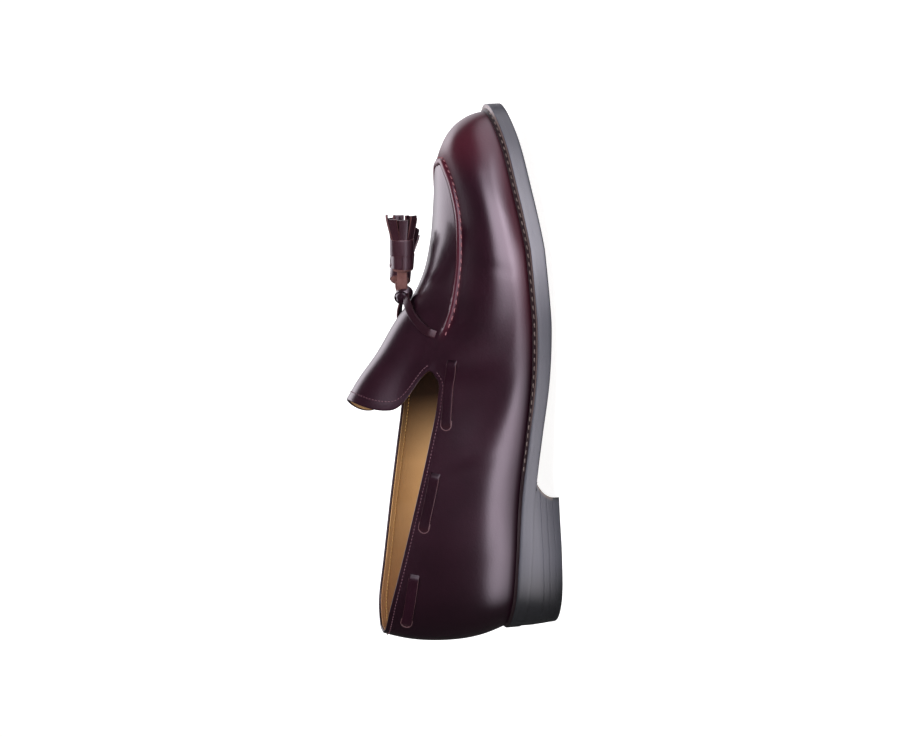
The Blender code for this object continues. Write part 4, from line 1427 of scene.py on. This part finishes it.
# Studio: places and reaches in metres, powers in watts
FLOOR_HALF = 9
FLOOR_GREY = 0.5
FLOOR_GLOW = 0.90
AIR_SEEN = 1.05
AIR_LIGHT = 0.24
AIR_IN_GLOSS = 0.04
LIGHT_TINT = (0.98, 0.93, 1.0)
BOXES = (
    # name, place, aim, size, power, colour
    ("back_box", (0.30, 0.95, 1.00), (0.08, 0, 0.05), (1.0, 1.2), 12, LIGHT_TINT),
    ("front_fill", (-0.05, -0.75, 1.05), (-0.05, 0.03, 0.06), (0.8, 0.8), 18, (1, 1, 1)),
)
CARD_CORE = 0.25
CARDS = (
    # name, centre, reach along each axis, strength
    ("ball_screen", (0.32, -0.34, 0.05), (0.42, 0, 0.40), 6.5),
    ("ball_card", (0.09, -0.13, 0.002), (0.11, 0.07, 0), 4.0),
    ("toe_card", (0.16, -0.085, 0.002), (0.07, 0.05, 0), 4.0),
    ("toe_screen", (0.40, -0.05, -0.03), (0, 0.20, 0.12), 1.8),
    ("waist_card", (-0.05, -0.125, 0.002), (0.11, 0.095, 0), 4.2),
    ("heel_card", (-0.125, -0.10, 0.002), (0.11, 0.085, 0), 4.2),
    ("back_screen", (0.75, 0.75, 0.18), (1.05, 0, 0.55), 1.0),
    ("back_card", (0.40, 0.95, 1.15), (0.90, 0, 1.10), 3.3),
)

# Camera: the view's centre is in pixels of the picture, its angles in degrees
CAMERA_AIM = (0.0, SHIFT_Y * MM, 0.05)
CAMERA_DISTANCE = 1.0
CAMERA_LENS = 71.04
CAMERA_SENSOR = 36.0
CAMERA_ELEVATION = 10.0
CAMERA_ROLL = -93.7
PICTURE = (900, 737)
VIEW_CENTRE = (450.0, 372.0)


def link(item):
    """Puts an object into the scene."""
    bpy.context.scene.collection.objects.link(item)
    return item


def add_box(name, place, aim, size, power, colour):
    """Soft box: an area light at a place, turned to its aim, that shows in no gloss."""
    light = bpy.data.lights.new(name, "AREA")
    light.shape = "RECTANGLE"
    light.size, light.size_y = size
    light.energy = power
    light.color = colour
    lamp = link(bpy.data.objects.new(name, light))
    lamp.location = place
    lamp.rotation_euler = (Vector(aim) - Vector(place)).to_track_quat("-Z", "Y").to_euler()
    lamp.visible_camera = False
    lamp.visible_glossy = False


def add_sheet(name, corners, finish):
    """Flat sheet of the studio between four corners."""
    mesh = bpy.data.meshes.new(name)
    mesh.from_pydata(corners, [], [(0, 1, 2, 3)])
    mesh.materials.append(finish)
    sheet = link(bpy.data.objects.new(name, mesh))
    return sheet


def glow_finish(name, centre, reach, strength):
    """Light card: glows most at its centre, fades to nothing at its reach, both in metres, and lets what
    lies behind it shine through."""
    made, tree, _ = finish_of(name)
    place = node(tree, "ShaderNodeTexCoord")
    values = {"Location": tuple(-c / r for c, r in zip(centre, reach)), "Scale": tuple(1 / r for r in reach)}
    spread = node(tree, "ShaderNodeMapping", values, {"Vector": (place, "Object")})
    away = node(tree, "ShaderNodeVectorMath", links={0: (spread, "Vector")}, operation="LENGTH")
    values = {"From Min": 1.0, "From Max": CARD_CORE, "To Min": 0.0, "To Max": strength}
    links = {"Value": (away, "Value")}
    fade = node(tree, "ShaderNodeMapRange", values, links, interpolation_type="SMOOTHSTEP")
    glow = node(tree, "ShaderNodeEmission", {"Color": (*LIGHT_TINT, 1)}, {"Strength": (fade, "Result")})
    clear = node(tree, "ShaderNodeBsdfTransparent")
    both = node(tree, "ShaderNodeAddShader", links={0: (glow, 0), 1: (clear, 0)})
    tree.links.new(both.outputs[0], tree.nodes["Material Output"].inputs["Surface"])
    return made


def add_card(name, centre, reach, strength):
    """Light card round the shoe, seen only in the gloss of the leather: it lies or stands, as the one
    axis along which it has no reach says."""
    axes = [axis for axis in range(3) if reach[axis]]
    corners = []
    for signs in ((-1, -1), (1, -1), (1, 1), (-1, 1)):
        corner = list(centre)
        for axis, sign in zip(axes, signs):
            corner[axis] += sign * reach[axis]
        corners.append(corner)
    card = add_sheet(name, corners, glow_finish(name, centre, [r or 1.0 for r in reach], strength))
    for ray in ("camera", "diffuse", "shadow", "transmission", "volume_scatter"):
        setattr(card, "visible_" + ray, False)


def build_air():
    """White air to the camera, a soft light on the shoe, and nearly dark in its gloss."""
    world = bpy.data.worlds.new("studio_air")
    world.use_nodes = True
    tree = world.node_tree
    rays = node(tree, "ShaderNodeLightPath")
    values = {"To Min": AIR_LIGHT, "To Max": AIR_IN_GLOSS}
    dim = node(tree, "ShaderNodeMapRange", values, {"Value": (rays, "Is Glossy Ray")})
    links = {"Value": (rays, "Is Camera Ray"), "To Min": (dim, "Result")}
    strength = node(tree, "ShaderNodeMapRange", {"To Max": AIR_SEEN}, links)
    tree.links.new(strength.outputs["Result"], tree.nodes["Background"].inputs["Strength"])
    tree.nodes["Background"].inputs["Color"].default_value = (1, 1, 1, 1)
    bpy.context.scene.world = world


def build_studio():
    """White floor and air, two soft boxes for the plain light, and light cards and screens that draw the
    bright bands on wall, instep and apron. Floor and air are dim in the gloss, so that the middle of the
    wall stays deep."""
    white, _, _ = finish_of("white_paper", base_color=(*[FLOOR_GREY] * 3, 1), roughness=1.0,
                            emission_color=(1, 1, 1, 1), emission_strength=FLOOR_GLOW)
    corners = [(-FLOOR_HALF, -FLOOR_HALF, 0), (FLOOR_HALF, -FLOOR_HALF, 0)]
    corners += [(FLOOR_HALF, FLOOR_HALF, 0), (-FLOOR_HALF, FLOOR_HALF, 0)]
    floor = add_sheet("floor", corners, white)
    floor.visible_glossy = False
    build_air()
    bpy.context.scene.view_settings.view_transform = "Standard"
    for box in BOXES:
        add_box(*box)
    for card in CARDS:
        add_card(*card)


def build_camera():
    """Camera at the photograph's angle to the shoe: square to the lateral side, a little above, and
    rolled so that the toe points up."""
    elevation, roll = np.radians((CAMERA_ELEVATION, CAMERA_ROLL))
    back = Vector((0, -np.cos(elevation), np.sin(elevation)))
    level = Vector((1, 0, 0))
    right = level * np.cos(roll) + back.cross(level) * np.sin(roll)
    camera = bpy.data.cameras.new("camera")
    camera.sensor_width = CAMERA_SENSOR
    camera.lens = CAMERA_LENS
    camera.shift_x = (PICTURE[0] / 2 - VIEW_CENTRE[0]) / PICTURE[0]
    camera.shift_y = (VIEW_CENTRE[1] - PICTURE[1] / 2) / PICTURE[0]
    camera.clip_end = 50
    eye = link(bpy.data.objects.new("camera", camera))
    turn = Matrix((right, back.cross(right), back)).transposed()
    eye.matrix_world = Matrix.Translation(Vector(CAMERA_AIM) + back * CAMERA_DISTANCE) @ turn.to_4x4()
    bpy.context.scene.camera = eye


build_studio()
build_camera()
